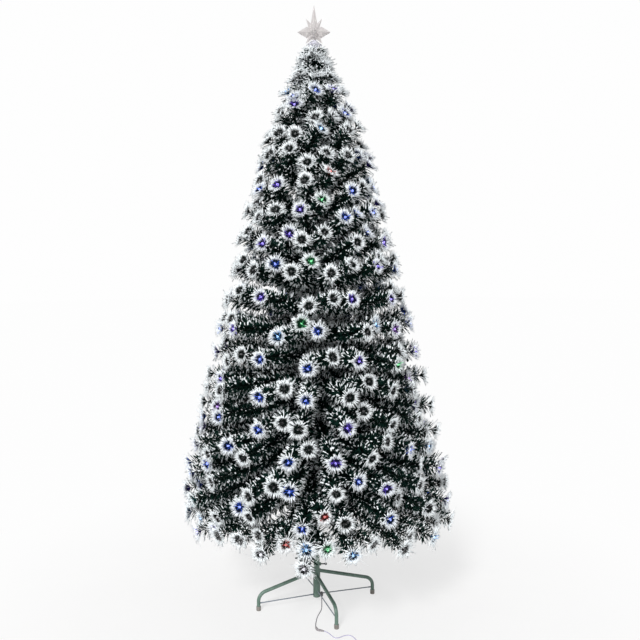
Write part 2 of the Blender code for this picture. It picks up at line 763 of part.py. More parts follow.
def leader_brush(axis):
    """Short bristles round the pole's end, with a well that leaves room for the star's socket."""
    foot = POLE_TOP - LEADER_FOOT
    step = POLE_TOP - SOCKET_GRIP - GAP
    well_radius = (SOCKET_RADIUS + GAP) / math.cos(PI / COLLAR_SIDES)
    profile = [
        (COLLAR_BORE, foot),
        (COLLAR_BORE, step),
        (well_radius, step),
        (well_radius, POLE_TOP + LEADER_RIM),
        (LEADER_RIM_RADIUS, POLE_TOP + LEADER_RIM),
        (LEADER_RADIUS, POLE_TOP - LEADER_WIDEST),
        (LEADER_HUB_RADIUS, foot),
    ]
    piece = turned("leader_brush", profile, COLLAR_SIDES, closed=True)
    give_finish(piece, FOLIAGE)
    hang(piece, axis)


# Star


def spike(lean, length, waist, half_width, direction):
    """A four-sided spike from the star's centre, widest at its waist."""
    piece = turned("spike", [(0, length), (half_width, waist), (0, 0)], SPIKE_SIDES)
    if direction.y == 0:
        piece.data.transform(Matrix.Diagonal((1, SPIKE_THICKNESS_SHARE, 1, 1)))
    turn = Matrix.Rotation(math.radians(lean), 4, "Y")
    if direction.x < 0:
        turn = Matrix.Rotation(math.radians(-lean), 4, "Y")
    if direction.y:
        turn = Matrix.Rotation(math.radians(-lean * direction.y), 4, "X")
    piece.data.transform(turn)
    return piece


def star():
    """Faceted star on a socket that fits over the top of the pole."""
    axis = joint_axis("star_lift", POLE_TOP)
    core = rod("star", STAR_CORE_RADIUS, -STAR_CORE_RADIUS, STAR_CORE_RADIUS, ROD_SIDES)
    right = Vector((1, 0, 0))
    arm = (ARM_LEAN, ARM_LENGTH, ARM_WAIST, ARM_HALF_WIDTH)
    raised = (RAISED_SPIKE_LEAN, RAISED_SPIKE_LENGTH, RAISED_SPIKE_WAIST, RAISED_SPIKE_HALF_WIDTH)
    lowered = (
        LOWERED_SPIKE_LEAN, LOWERED_SPIKE_LENGTH, LOWERED_SPIKE_WAIST, LOWERED_SPIKE_HALF_WIDTH
    )
    front = (ARM_LEAN, FRONT_SPIKE_LENGTH, FRONT_SPIKE_WAIST, FRONT_SPIKE_HALF_WIDTH)
    spikes = [spike(0, TOP_SPIKE_LENGTH, TOP_SPIKE_WAIST, TOP_SPIKE_HALF_WIDTH, right)]
    for sizes in (arm, raised, lowered):
        spikes += [spike(*sizes, right), spike(*sizes, -right)]
    spikes += [spike(*front, Vector((0, -1, 0))), spike(*front, Vector((0, 1, 0)))]
    piece = core
    for tool in spikes:
        piece = combine(piece, tool, "UNION")
    neck_foot = SOCKET_ROOF + GAP - STAR_RISE
    neck = rod("neck", STAR_NECK_RADIUS, neck_foot, 0)
    piece = combine(piece, neck, "UNION")
    drill = rod("drill", PEG_RADIUS + GAP, neck_foot - OVERRUN, neck_foot + PEG_LENGTH)
    piece = combine(piece, drill, "DIFFERENCE")
    piece.location = (0, 0, STAR_CENTRE)
    give_finish(piece, CLEAR_PLASTIC)
    hang(piece, axis)
    profile = [
        (0, GAP),
        (POLE_RADIUS + GAP, GAP),
        (POLE_RADIUS + GAP, -SOCKET_GRIP),
        (SOCKET_RADIUS, -SOCKET_GRIP),
        (SOCKET_RADIUS, SKIRT_RISE + SKIRT_THICKNESS),
        (SKIRT_RADIUS, SKIRT_RISE),
        (SOCKET_TOP_RADIUS, SOCKET_ROOF),
        (PEG_RADIUS, SOCKET_ROOF),
        (PEG_RADIUS, SOCKET_ROOF + PEG_LENGTH),
        (0, SOCKET_ROOF + PEG_LENGTH),
    ]
    socket = turned("star_socket", profile[::-1], ROUND_SIDES)
    socket.location = (0, 0, POLE_TOP)
    give_finish(socket, CLEAR_PLASTIC)
    hang(socket, axis)


# Cords, connector, jack, coil, tie and adapter


def smooth_route(knots, leaving, arriving, step):
    """Points at an even step along a smooth curve that leaves and arrives in given directions."""
    before_first = knots[1] - leaving * (knots[1] - knots[0]).length * 2
    after_last = knots[-2] + arriving * (knots[-1] - knots[-2]).length * 2
    padded = [before_first] + knots + [after_last]
    fine = []
    for before, here, there, after in zip(padded, padded[1:], padded[2:], padded[3:]):
        for t in np.linspace(0, 1, ROUTE_SAMPLES, endpoint=False):
            t = float(t)
            fine.append(
                (here * 2 + (there - before) * t
                 + (before * 2 - here * 5 + there * 4 - after) * t ** 2
                 + (here * 3 - before - there * 3 + after) * t ** 3) / 2
            )
    fine.append(knots[-1])
    walked = [0.0]
    for here, there in zip(fine, fine[1:]):
        walked.append(walked[-1] + (there - here).length)
    count = max(2, round(walked[-1] / step))
    places = np.linspace(0, walked[-1], count + 1)
    axes = [np.interp(places, walked, [point[axis] for point in fine]) for axis in range(3)]
    return [Vector(point) for point in zip(*axes)]


def free_cord(name, start, leaving, route, end, arriving, diameter, finish):
    """A cord through the route's points, straight for a moment at both ends; gives its length."""
    stub = diameter * STUB_SHARE
    knots = [start + leaving * stub] + [Vector(point) for point in route] + [end - arriving * stub]
    points = [start] + smooth_route(knots, leaving, arriving, diameter * CORD_STEP_SHARE) + [end]
    piece = tube(name, points, diameter)
    give_finish(piece, finish)
    length = sum((there - here).length for here, there in zip(points, points[1:]))
    print(f"{name}: {length:.3f} m")
    return length


def connector_start():
    """Where the lead enters the connector, whose axis lies level on the floor."""
    return Vector((CONNECTOR_X, CONNECTOR_Y, CONNECTOR_RADIUS + FLOOR_AIR))


def connector_corner():
    """Where the connector's two straight axes meet."""
    return connector_start() + outward(CONNECTOR_AZIMUTH) * CONNECTOR_BACK


def beyond_corner(distance):
    """A point on the axis that the connector's front and the jack share."""
    return connector_corner() + outward(JACK_AZIMUTH) * distance


def connector_and_jack():
    """The lead's angled connector and the jack that the adapter's cord ends in."""
    back = outward(CONNECTOR_AZIMUTH)
    front = outward(JACK_AZIMUTH)
    setback = CONNECTOR_BEND_RADIUS * math.tan(back.angle(front) / 2)
    centre = connector_corner() + (front - back).normalized() * math.hypot(
        CONNECTOR_BEND_RADIUS, setback
    )
    first = (connector_corner() - back * setback - centre).normalized()
    last = (connector_corner() + front * setback - centre).normalized()
    points = [connector_start(), connector_start() + back * CONNECTOR_TAPER_LENGTH]
    for step in range(CONNECTOR_BEND_STEPS + 1):
        outwards = first.slerp(last, step / CONNECTOR_BEND_STEPS)
        points.append(centre + outwards * CONNECTOR_BEND_RADIUS)
    points.append(beyond_corner(CONNECTOR_FRONT))
    connector = tube("lead_connector", points, CONNECTOR_RADIUS * 2)
    connector.data.splines[0].points[0].radius = CONNECTOR_TAPER_SHARE
    give_finish(connector, GREY_PLASTIC)
    profile = [
        (0, JACK_LENGTH),
        (JACK_TAIL_RADIUS, JACK_LENGTH),
        (JACK_TAIL_RADIUS, JACK_LENGTH * 2 / 3),
        (JACK_RADIUS, JACK_LENGTH / 2),
        (JACK_RADIUS, 0),
        (0, 0),
    ]
    jack = turned("adapter_jack", profile, SMALL_SIDES)
    lay(jack, front, beyond_corner(CONNECTOR_FRONT + GAP))
    give_finish(jack, GREY_PLASTIC)


def coil_point(turns):
    """A point of the coil: in and out at a steady rate, a layer up in each reversing half turn."""
    layer = min(int(turns / TURNS_PER_LAYER), COIL_LAYERS - 1)
    along = turns / TURNS_PER_LAYER - layer
    inward_share = along if layer % 2 == 0 else 1 - along
    radius = COIL_OUTER_RADIUS - (COIL_OUTER_RADIUS - COIL_INNER_RADIUS) * inward_share
    climbed = 0.0
    for reversal in range(1, COIL_LAYERS):
        part = (turns - reversal * TURNS_PER_LAYER) * 2 + 0.5
        part = min(max(part, 0.0), 1.0)
        climbed += part * part * (3 - 2 * part)
    angle = math.radians(COIL_START_AZIMUTH) + 2 * PI * turns
    return Vector((
        COIL_CENTRE_X + radius * math.cos(angle),
        COIL_CENTRE_Y + radius * math.sin(angle),
        COIL_LOWEST + climbed * COIL_PITCH,
    ))


def coil():
    """The put-away length of the adapter's cord, and the tie round it."""
    count = round(COIL_TURNS * POINTS_PER_TURN)
    points = [coil_point(COIL_TURNS * step / count) for step in range(count + 1)]
    piece = tube("adapter_cord_coil", points, CORD_DIAMETER, smoothness=1)
    give_finish(piece, PALE_PLASTIC)
    length = sum((there - here).length for here, there in zip(points, points[1:]))
    table = np.array([tuple(point) for point in points])
    spans = np.linalg.norm(table[:, None] - table[None, :], axis=2)
    apart = np.abs(np.subtract.outer(np.arange(len(points)), np.arange(len(points))))
    least = spans[apart > POINTS_PER_TURN // 2].min() - CORD_DIAMETER
    print(f"adapter_cord_coil: {length:.3f} m, least gap between turns {least * 1000:.2f} mm")
    near = math.sqrt((COIL_INNER_RADIUS - CORD_DIAMETER / 2) ** 2 - (TIE_WIDTH / 2) ** 2) - GAP
    far = COIL_OUTER_RADIUS + CORD_DIAMETER / 2 + GAP
    height = COIL_HIGHEST - COIL_LOWEST + CORD_DIAMETER + GAP * 2
    inner = (far - near, TIE_WIDTH + OVERRUN, height)
    outer = (inner[0] + TIE_THICKNESS * 2, TIE_WIDTH, height + TIE_THICKNESS * 2)
    centre = ((near + far) / 2, 0, outer[2] / 2)
    tie = combine(box("coil_tie", outer, centre), box("hole", inner, centre), "DIFFERENCE")
    tie.location = (COIL_CENTRE_X, COIL_CENTRE_Y, 0)
    tie.rotation_euler = Euler((0, 0, math.radians(TIE_AZIMUTH)))
    give_finish(tie, DARK_PLASTIC)
    return points, length


def adapter(entry):
    """The plug-in adapter on the floor, its tapered relief towards the coil."""
    middle = ADAPTER_HEIGHT / 2
    body = rounded(
        box("power_adapter", (ADAPTER_LENGTH, ADAPTER_WIDTH, ADAPTER_HEIGHT),
            (RELIEF_LENGTH + ADAPTER_LENGTH / 2, 0, middle)),
        ADAPTER_ROUNDING,
    )
    profile = [
        (0, RELIEF_LENGTH + ADAPTER_ROUNDING),
        (RELIEF_RADIUS, RELIEF_LENGTH + ADAPTER_ROUNDING),
        (RELIEF_RADIUS, RELIEF_LENGTH - ADAPTER_ROUNDING),
        (RELIEF_NOSE_RADIUS, 0),
        (0, 0),
    ]
    relief = turned("relief", profile, SMALL_SIDES)
    lay(relief, (1, 0, 0), (0, 0, middle))
    body = combine(body, relief, "UNION")
    for side in (-1, 1):
        blade = box("blade", (BLADE_LENGTH + ADAPTER_ROUNDING, BLADE_THICKNESS, BLADE_WIDTH),
                    (RELIEF_LENGTH + ADAPTER_LENGTH + (BLADE_LENGTH - ADAPTER_ROUNDING) / 2,
                     side * BLADE_SPACING / 2, middle))
        body = combine(body, blade, "UNION")
    body.location = (entry.x, entry.y, 0)
    give_finish(body, PALE_PLASTIC)


def cords():
    """Lead from the gland to the connector, and the adapter's cord with its coil."""
    exit_point = gland_axis() + Vector((0, 0, GLAND_FOOT - GAP))
    free_cord("lead_cable", exit_point, Vector((0, 0, -1)), LEAD_ROUTE,
              connector_start() - outward(CONNECTOR_AZIMUTH) * GAP, outward(CONNECTOR_AZIMUTH),
              LEAD_DIAMETER, GREY_PLASTIC)
    connector_and_jack()
    coil_points, coil_length = coil()
    start = beyond_corner(CONNECTOR_FRONT + GAP + JACK_LENGTH + GAP)
    first = coil_points[0]
    winding = (coil_points[1] - first).normalized()
    total = free_cord("adapter_cord", start, outward(JACK_AZIMUTH), CORD_ROUTE,
                      first - winding * GAP, winding, CORD_DIAMETER, PALE_PLASTIC)
    last = coil_points[-1]
    unwinding = (last - coil_points[-2]).normalized()
    entry = last + Vector((ADAPTER_BEYOND_COIL, 0, ADAPTER_HEIGHT / 2 - last.z))
    to_plug = Vector((1, 0, 0))
    total += free_cord("adapter_cord_end", last + unwinding * GAP, unwinding, [],
                       entry - to_plug * GAP, to_plug, CORD_DIAMETER, PALE_PLASTIC)
    adapter(entry)
    print(f"adapter's cord in all: {total + coil_length:.3f} m")


stand()
thumb_screw()
cable_gland()
foliage(*pole())
star()
cords()
print(f"stems: {sum(tier_shape(index)[3] for index in range(TIER_COUNT))}")
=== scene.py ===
# %% [markdown]
# # A fibre optic Christmas tree
# This file dresses the tree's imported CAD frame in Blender. The frame gives every part its
# place. What is added here is what makes the tree look like one: thousands of needles, lit
# fibres, paint, plastic and light. Everything is in metres, with x to the right, y to the
# back and z up, and each new piece rides on the part of the frame that carries it.

import math

import bpy
import numpy as np
from mathutils import Matrix, Vector


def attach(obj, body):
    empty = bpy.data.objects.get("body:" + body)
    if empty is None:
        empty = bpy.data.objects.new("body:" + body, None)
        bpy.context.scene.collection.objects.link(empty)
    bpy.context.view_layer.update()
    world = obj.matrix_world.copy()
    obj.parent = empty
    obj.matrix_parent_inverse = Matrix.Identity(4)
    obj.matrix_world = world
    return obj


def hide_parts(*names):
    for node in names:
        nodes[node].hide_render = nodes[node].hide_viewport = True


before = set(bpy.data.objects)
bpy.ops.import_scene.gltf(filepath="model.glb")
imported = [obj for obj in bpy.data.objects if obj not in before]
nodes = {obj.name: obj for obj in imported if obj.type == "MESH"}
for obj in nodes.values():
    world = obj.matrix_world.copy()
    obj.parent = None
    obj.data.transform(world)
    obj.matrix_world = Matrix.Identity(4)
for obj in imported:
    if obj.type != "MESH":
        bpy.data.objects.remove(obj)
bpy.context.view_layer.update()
scene = bpy.context.scene

# %% [markdown]
# ## Camera
# The picture to match was taken from 1.3 m up and almost three metres away, looking a
# little down. A camera's lens in millimetres follows from its focal length in pixels:
# lens / sensor width = focal length / picture width.

# %% Camera
PICTURE_WIDTH = 640
FOCAL_PIXELS = 811.5
SENSOR_WIDTH = 36.0
CAMERA_PLACE = (0.016, -2.836, 1.309)
CAMERA_TILT, CAMERA_ROLL = 84.37, -0.2455

lens = bpy.data.cameras.new("front_camera")
lens.sensor_width = SENSOR_WIDTH
lens.lens = FOCAL_PIXELS / PICTURE_WIDTH * SENSOR_WIDTH
camera = bpy.data.objects.new("front_camera", lens)
scene.collection.objects.link(camera)
camera.matrix_world = (
    Matrix.Translation(CAMERA_PLACE)
    @ Matrix.Rotation(math.radians(CAMERA_TILT), 4, "X")
    @ Matrix.Rotation(math.radians(CAMERA_ROLL), 4, "Z")
)
scene.camera = camera
for height in (0.0, 1.0, 2.1):
    seen = camera.matrix_world.inverted() @ Vector((0, 0, height))
    right = PICTURE_WIDTH / 2 - FOCAL_PIXELS * seen.x / seen.z
    down = PICTURE_WIDTH / 2 + FOCAL_PIXELS * seen.y / seen.z
    print(f"pole at {height} m: pixel {right:.1f}, {down:.1f}")

# %% [markdown]
# ## Cords
# Two thin cords run from the stand. The short grey lead leaves the cable gland and ends in
# an angled connector. The adapter's pale cord is plugged into it, and its unused length is
# wound into a coil beside the adapter. A cord is a curve with a round bevel: its own line
# stays exactly where the frame's cord lies. The bevel is one metre and each point's radius
# scales it down to the cord's, because Blender also adds that radius to the curve's box.

# %% Points of the two cords
GAP = 0.0003
CORD_DIAMETER = 0.0032
POINT_STEP = CORD_DIAMETER * 2.9
GLAND_EXIT = Vector((0.01776, -0.00646, 0.0237))
LEAD_ROUTE = [
    (0.0177, -0.0098, 0.0115), (0.0178, -0.0175, 0.0046), (0.0180, -0.0290, 0.0018),
    (0.0178, -0.0480, 0.0017), (0.0158, -0.0697, 0.0017), (0.0108, -0.0900, 0.0017),
    (0.0052, -0.1112, 0.0017), (0.0012, -0.1310, 0.0017), (-0.0012, -0.1509, 0.0017),
    (-0.0028, -0.1700, 0.0020), (-0.0035, -0.1850, 0.0031),
]
CORD_ROUTE = [
    (0.0335, -0.2360, 0.0036), (0.0440, -0.2470, 0.0022), (0.0535, -0.2640, 0.0017),
    (0.0640, -0.2745, 0.0017), (0.0775, -0.2695, 0.0017), (0.0930, -0.2580, 0.0017),
    (0.1078, -0.2555, 0.0017), (0.1195, -0.2645, 0.0017), (0.1290, -0.2850, 0.0017),
    (0.1352, -0.3100, 0.0017), (0.1395, -0.3320, 0.0021),
]


def level_direction(azimuth):
    """The level direction at an azimuth in degrees, from +x towards +y."""
    return Vector((math.cos(math.radians(azimuth)), math.sin(math.radians(azimuth)), 0))


def even_points(knots, leaving, arriving):
    """Points at an even step along a smooth curve through the knots."""
    before_first = knots[1] - leaving * (knots[1] - knots[0]).length * 2
    after_last = knots[-2] + arriving * (knots[-1] - knots[-2]).length * 2
    padded = [before_first] + knots + [after_last]
    fine = []
    for before, here, there, after in zip(padded, padded[1:], padded[2:], padded[3:]):
        for t in np.linspace(0, 1, 20, endpoint=False).tolist():
            fine.append(
                (here * 2 + (there - before) * t
                 + (before * 2 - here * 5 + there * 4 - after) * t ** 2
                 + (here * 3 - before - there * 3 + after) * t ** 3) / 2
            )
    fine.append(knots[-1])
    walked = np.cumsum([0.0] + [(b - a).length for a, b in zip(fine, fine[1:])])
    places = np.linspace(0, walked[-1], max(2, round(walked[-1] / POINT_STEP)) + 1)
    axes = [np.interp(places, walked, [point[axis] for point in fine]) for axis in range(3)]
    return [Vector(point) for point in zip(*axes)]


def cord_points(start, leaving, route, end, arriving):
    """A cord's points, straight for a moment at both ends."""
    stub = CORD_DIAMETER * 0.6
    knots = [start + leaving * stub] + [Vector(point) for point in route] + [end - arriving * stub]
    return [start] + even_points(knots, leaving, arriving) + [end]


CONNECTOR_AZIMUTH, JACK_AZIMUTH = -79, -24
CONNECTOR_BACK, CONNECTOR_FRONT, JACK_LENGTH = 0.0224, 0.012, 0.014
connector_start = Vector((-0.0030, -0.1985, 0.0043))
connector_back = level_direction(CONNECTOR_AZIMUTH)
jack_direction = level_direction(JACK_AZIMUTH)
connector_corner = connector_start + connector_back * CONNECTOR_BACK
jack_tail = connector_corner + jack_direction * (CONNECTOR_FRONT + JACK_LENGTH + GAP * 2)
lead_points = cord_points(
    GLAND_EXIT, Vector((0, 0, -1)), LEAD_ROUTE, connector_start - connector_back * GAP,
    connector_back,
)
print(f"lead: {len(lead_points)} points")

# %% [markdown]
# The coil has a little over ten turns in four layers. The radius shrinks and grows at a
# steady rate from layer to layer, and the height climbs one cord in each reversal. A formula
# in turns gives any of its points.

# %% Points of the coil
COIL_CENTRE = Vector((0.1660, -0.350, 0))
COIL_GAP, COIL_MEAN_RADIUS, TIE_THICKNESS = 0.0005, 0.019, 0.0008
COIL_PITCH = CORD_DIAMETER + COIL_GAP
COIL_START, COIL_END = 197.5, 270.0
COIL_FULL_TURNS = 10
COIL_TURNS = COIL_FULL_TURNS + (COIL_END - COIL_START) / 360
COIL_LAYERS = 4
TURNS_PER_LAYER = COIL_TURNS / COIL_LAYERS
COIL_OUTER = COIL_MEAN_RADIUS + TURNS_PER_LAYER * COIL_PITCH / 2
COIL_LOWEST = TIE_THICKNESS + GAP + CORD_DIAMETER / 2
POINTS_PER_TURN = 24


def coil_point(turns):
    """A point of the coil, this many turns from its start."""
    layer = min(int(turns / TURNS_PER_LAYER), COIL_LAYERS - 1)
    along = turns / TURNS_PER_LAYER - layer
    inward = along if layer % 2 == 0 else 1 - along
    radius = COIL_OUTER - TURNS_PER_LAYER * COIL_PITCH * inward
    climbed = 0.0
    for reversal in range(1, COIL_LAYERS):
        part = min(max((turns - reversal * TURNS_PER_LAYER) * 2 + 0.5, 0.0), 1.0)
        climbed += part * part * (3 - 2 * part)
    angle = math.radians(COIL_START) + 2 * math.pi * turns
    return COIL_CENTRE + Vector((
        radius * math.cos(angle), radius * math.sin(angle), COIL_LOWEST + climbed * COIL_PITCH
    ))


coil_count = round(COIL_TURNS * POINTS_PER_TURN)
coil_points = [coil_point(COIL_TURNS * step / coil_count) for step in range(coil_count + 1)]
winding = (coil_points[1] - coil_points[0]).normalized()
unwinding = (coil_points[-1] - coil_points[-2]).normalized()
ADAPTER_BEYOND_COIL, ADAPTER_ENTRY_HEIGHT = 0.030, 0.015
adapter_entry = Vector((
    coil_points[-1].x + ADAPTER_BEYOND_COIL, coil_points[-1].y, ADAPTER_ENTRY_HEIGHT
))
to_adapter = Vector((1, 0, 0))
free_points = cord_points(
    jack_tail, jack_direction, CORD_ROUTE, coil_points[0] - winding * GAP, winding
)
end_points = cord_points(
    coil_points[-1] + unwinding * GAP, unwinding, [], adapter_entry - to_adapter * GAP, to_adapter
)
adapter_points = free_points + coil_points + end_points
print(f"adapter's cord: {len(adapter_points)} points")


# %% Cord curves
def cord_curve(name, points):
    """A round cord along the points, as a curve of one open spline."""
    curve = bpy.data.curves.new(name, "CURVE")
    curve.dimensions = "3D"
    curve.bevel_depth = 1.0
    curve.bevel_resolution = 3
    curve.use_fill_caps = True
    spline = curve.splines.new("POLY")
    spline.points.add(len(points) - 1)
    for target, point in zip(spline.points, points):
        target.co = (*point, 1)
        target.radius = CORD_DIAMETER / 2
    spline.use_smooth = True
    piece = bpy.data.objects.new(name, curve)
    scene.collection.objects.link(piece)
    return piece


def walked_length(points):
    """The length of a line through the points."""
    return sum((b - a).length for a, b in zip(points, points[1:]))


lead = cord_curve("grey_lead", lead_points)
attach(lead, "stand")
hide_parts("lead_cable")
pale_cord = cord_curve("pale_adapter_cord", adapter_points)
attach(pale_cord, "stand")
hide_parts("adapter_cord", "adapter_cord_coil", "adapter_cord_end")
print(f"lead {walked_length(lead_points):.3f} m, adapter's cord {walked_length(adapter_points):.3f} m")

# %% [markdown]
# ## Node helpers
# A material is a small graph. These helpers start a material or a group of nodes, and add a
# node with its settings and inputs in one line, so that the graphs below read like recipes.


# %% Node helpers
def add(tree, kind, inputs=None, **settings):
    """Add a node; inputs maps a socket's name or number to a value or to another socket."""
    node = tree.nodes.new("ShaderNode" + kind)
    for name, value in settings.items():
        setattr(node, name, value)
    for key, value in (inputs or {}).items():
        if isinstance(value, bpy.types.NodeSocket):
            tree.links.new(value, node.inputs[key])
        else:
            node.inputs[key].default_value = value
    return node


def new_material(name, roughness):
    """An empty material with one Principled shader; gives the material, its tree and shader."""
    material = bpy.data.materials.new(name)
    material.use_nodes = True
    tree = material.node_tree
    shader = tree.nodes["Principled BSDF"]
    shader.inputs["Roughness"].default_value = roughness
    return material, tree, shader


def new_group(name, takes, gives):
    """A node group with named sockets; gives the tree, its input node and output node."""
    group = bpy.data.node_groups.new(name, "ShaderNodeTree")
    for socket, kind in takes:
        group.interface.new_socket(name=socket, in_out="INPUT", socket_type="NodeSocket" + kind)
    for socket, kind in gives:
        group.interface.new_socket(name=socket, in_out="OUTPUT", socket_type="NodeSocket" + kind)
    return group, group.nodes.new("NodeGroupInput"), group.nodes.new("NodeGroupOutput")


def place_group(tree, group, inputs):
    """Use a group in a material, with that material's own values."""
    return add(tree, "Group", inputs, node_tree=group)


# %% [markdown]
# ## Shared effects
# Paint and plastic are never one flat colour. The first group clouds a colour softly and
# gives fine grain as a height. The second rubs a coat away in specks and short scratches,
# and gives a mask that the colour, roughness and metal of a material can follow.

# %% Group: clouded colour with grain
clouding, given, result = new_group(
    "clouded_colour",
    [("Colour", "Color"), ("Second colour", "Color"), ("Cloud scale", "Float"),
     ("Grain scale", "Float"), ("Roughness", "Float"), ("Roughness change", "Float")],
    [("Colour", "Color"), ("Roughness", "Float"), ("Height", "Float")],
)
place = add(clouding, "TexCoord").outputs["Object"]
cloud = add(clouding, "TexNoise", {
    "Vector": place, "Scale": given.outputs["Cloud scale"], "Detail": 5.0, "Roughness": 0.6,
})
spread = add(clouding, "MapRange", {"Value": cloud.outputs["Fac"], 1: 0.35, 2: 0.65})
mixed = add(clouding, "Mix", {
    0: spread.outputs["Result"], 6: given.outputs["Colour"], 7: given.outputs["Second colour"],
}, data_type="RGBA")
grain = add(clouding, "TexNoise", {
    "Vector": place, "Scale": given.outputs["Grain scale"], "Detail": 3.0,
})
swing = add(clouding, "Math", {0: grain.outputs["Fac"], 1: 0.5}, operation="SUBTRACT")
rougher = add(clouding, "Math", {
    0: swing.outputs[0], 1: given.outputs["Roughness change"], 2: given.outputs["Roughness"],
}, operation="MULTIPLY_ADD")
clouding.links.new(mixed.outputs[2], result.inputs["Colour"])
clouding.links.new(rougher.outputs[0], result.inputs["Roughness"])
clouding.links.new(grain.outputs["Fac"], result.inputs["Height"])
print("group:", clouding.name)

# %% Group: rubbed coat
rubbing, given, result = new_group(
    "rubbed_coat",
    [("Coat", "Color"), ("Bare", "Color"), ("Scale", "Float"), ("Amount", "Float")],
    [("Colour", "Color"), ("Bare mask", "Float")],
)
place = add(rubbing, "TexCoord").outputs["Object"]
stretched = add(rubbing, "Mapping", {"Vector": place, "Scale": (1.0, 1.0, 0.35)})
specks = add(rubbing, "TexNoise", {
    "Vector": stretched.outputs[0], "Scale": given.outputs["Scale"], "Detail": 6.0,
    "Roughness": 0.7,
})
threshold = add(rubbing, "Math", {0: 0.78, 1: given.outputs["Amount"]}, operation="SUBTRACT")
above = add(rubbing, "Math", {0: specks.outputs["Fac"], 1: threshold.outputs[0]},
            operation="SUBTRACT")
mask = add(rubbing, "Math", {0: above.outputs[0], 1: 25.0}, operation="MULTIPLY",
           use_clamp=True)
mixed = add(rubbing, "Mix", {
    0: mask.outputs[0], 6: given.outputs["Coat"], 7: given.outputs["Bare"],
}, data_type="RGBA")
rubbing.links.new(mixed.outputs[2], result.inputs["Colour"])
rubbing.links.new(mask.outputs[0], result.inputs["Bare mask"])
print("group:", rubbing.name)


# %% [markdown]
# ## Paint, plated steel and plastic
# The stand is satin grey-green paint on steel tube. The pole has a darker green of the same
# kind, and the stay rods a blue grey. All three are one recipe with different values: a
# clouded coat, rubbed through in a few specks, over grey metal. Plastic and plated steel
# share a second recipe, without the rubbed coat.

# %% Painted steel
def painted_steel(name, light_coat, dark_coat, bare, roughness, worn):
    """Paint on steel, with clouded colour, orange-peel grain and a few rubbed specks."""
    material, tree, shader = new_material(name, roughness)
    clouds = place_group(tree, clouding, {
        "Colour": light_coat, "Second colour": dark_coat, "Cloud scale": 45.0,
        "Grain scale": 900.0, "Roughness": roughness, "Roughness change": 0.25,
    })
    rubbed = place_group(tree, rubbing, {
        "Coat": clouds.outputs["Colour"], "Bare": bare, "Scale": 160.0, "Amount": worn,
    })
    bump = add(tree, "Bump", {
        "Height": clouds.outputs["Height"], "Strength": 0.12, "Distance": 0.0004,
    })
    tree.links.new(rubbed.outputs["Colour"], shader.inputs["Base Color"])
    tree.links.new(clouds.outputs["Roughness"], shader.inputs["Roughness"])
    tree.links.new(rubbed.outputs["Bare mask"], shader.inputs["Metallic"])
    tree.links.new(bump.outputs[0], shader.inputs["Normal"])
    return material


stand_paint = painted_steel(
    "satin_grey_green_paint", (0.150, 0.225, 0.185, 1), (0.095, 0.165, 0.130, 1),
    (0.42, 0.42, 0.40, 1), roughness=0.38, worn=0.08,
)
pole_paint = painted_steel(
    "dark_green_pole_paint", (0.030, 0.085, 0.055, 1), (0.018, 0.055, 0.036, 1),
    (0.30, 0.30, 0.28, 1), roughness=0.42, worn=0.06,
)
stay_paint = painted_steel(
    "satin_blue_grey_stay_paint", (0.25, 0.28, 0.325, 1), (0.19, 0.22, 0.26, 1),
    (0.45, 0.45, 0.44, 1), roughness=0.36, worn=0.09,
)
print("paints:", stand_paint.name, pole_paint.name, stay_paint.name)


# %% Plated steel and moulded plastic
def moulded_plastic(name, colour, second, roughness, grain_scale=1400.0):
    """Plastic from a mould: softly clouded, with a fine spark-eroded grain."""
    material, tree, shader = new_material(name, roughness)
    clouds = place_group(tree, clouding, {
        "Colour": colour, "Second colour": second, "Cloud scale": 60.0,
        "Grain scale": grain_scale, "Roughness": roughness, "Roughness change": 0.3,
    })
    bump = add(tree, "Bump", {
        "Height": clouds.outputs["Height"], "Strength": 0.2, "Distance": 0.0003,
    })
    tree.links.new(clouds.outputs["Colour"], shader.inputs["Base Color"])
    tree.links.new(clouds.outputs["Roughness"], shader.inputs["Roughness"])
    tree.links.new(bump.outputs[0], shader.inputs["Normal"])
    return material


def plated_steel(name, colour, second, roughness):
    """Plated steel: metal all over, softly clouded, with a coarser grain than plastic."""
    material = moulded_plastic(name, colour, second, roughness, 700.0)
    material.node_tree.nodes["Principled BSDF"].inputs["Metallic"].default_value = 1.0
    return material


cap_plastic = moulded_plastic(
    "foot_cap_plastic", (0.27, 0.25, 0.225, 1), (0.20, 0.185, 0.17, 1), 0.55)
gland_plastic = moulded_plastic(
    "gland_plastic", (0.10, 0.10, 0.105, 1), (0.07, 0.07, 0.075, 1), 0.5)
connector_plastic = moulded_plastic(
    "connector_plastic", (0.36, 0.335, 0.35, 1), (0.28, 0.26, 0.275, 1), 0.45)
wiring_plastic = moulded_plastic(
    "wiring_plastic", (0.05, 0.05, 0.055, 1), (0.035, 0.035, 0.04, 1), 0.5)
adapter_plastic = moulded_plastic(
    "adapter_plastic", (0.78, 0.76, 0.82, 1), (0.70, 0.68, 0.75, 1), 0.35)
lead_cover = moulded_plastic(
    "grey_lead_cover", (0.30, 0.285, 0.31, 1), (0.24, 0.23, 0.25, 1), 0.5)
cord_cover = moulded_plastic(
    "pale_cord_cover", (0.56, 0.53, 0.70, 1), (0.48, 0.46, 0.62, 1), 0.45)
tie_fabric = moulded_plastic(
    "tie_strap_fabric", (0.05, 0.05, 0.055, 1), (0.03, 0.03, 0.034, 1), 0.8, 2600.0)
screw_steel = plated_steel(
    "dark_screw_steel", (0.11, 0.11, 0.115, 1), (0.07, 0.07, 0.075, 1), 0.4)
print("plastics and steels: 9")


# %% Finishes on the frame's own nodes
def finish_node(name, material):
    """Give a frame node a new material in each of its slots."""
    for index in range(len(nodes[name].material_slots)):
        nodes[name].material_slots[index].material = material


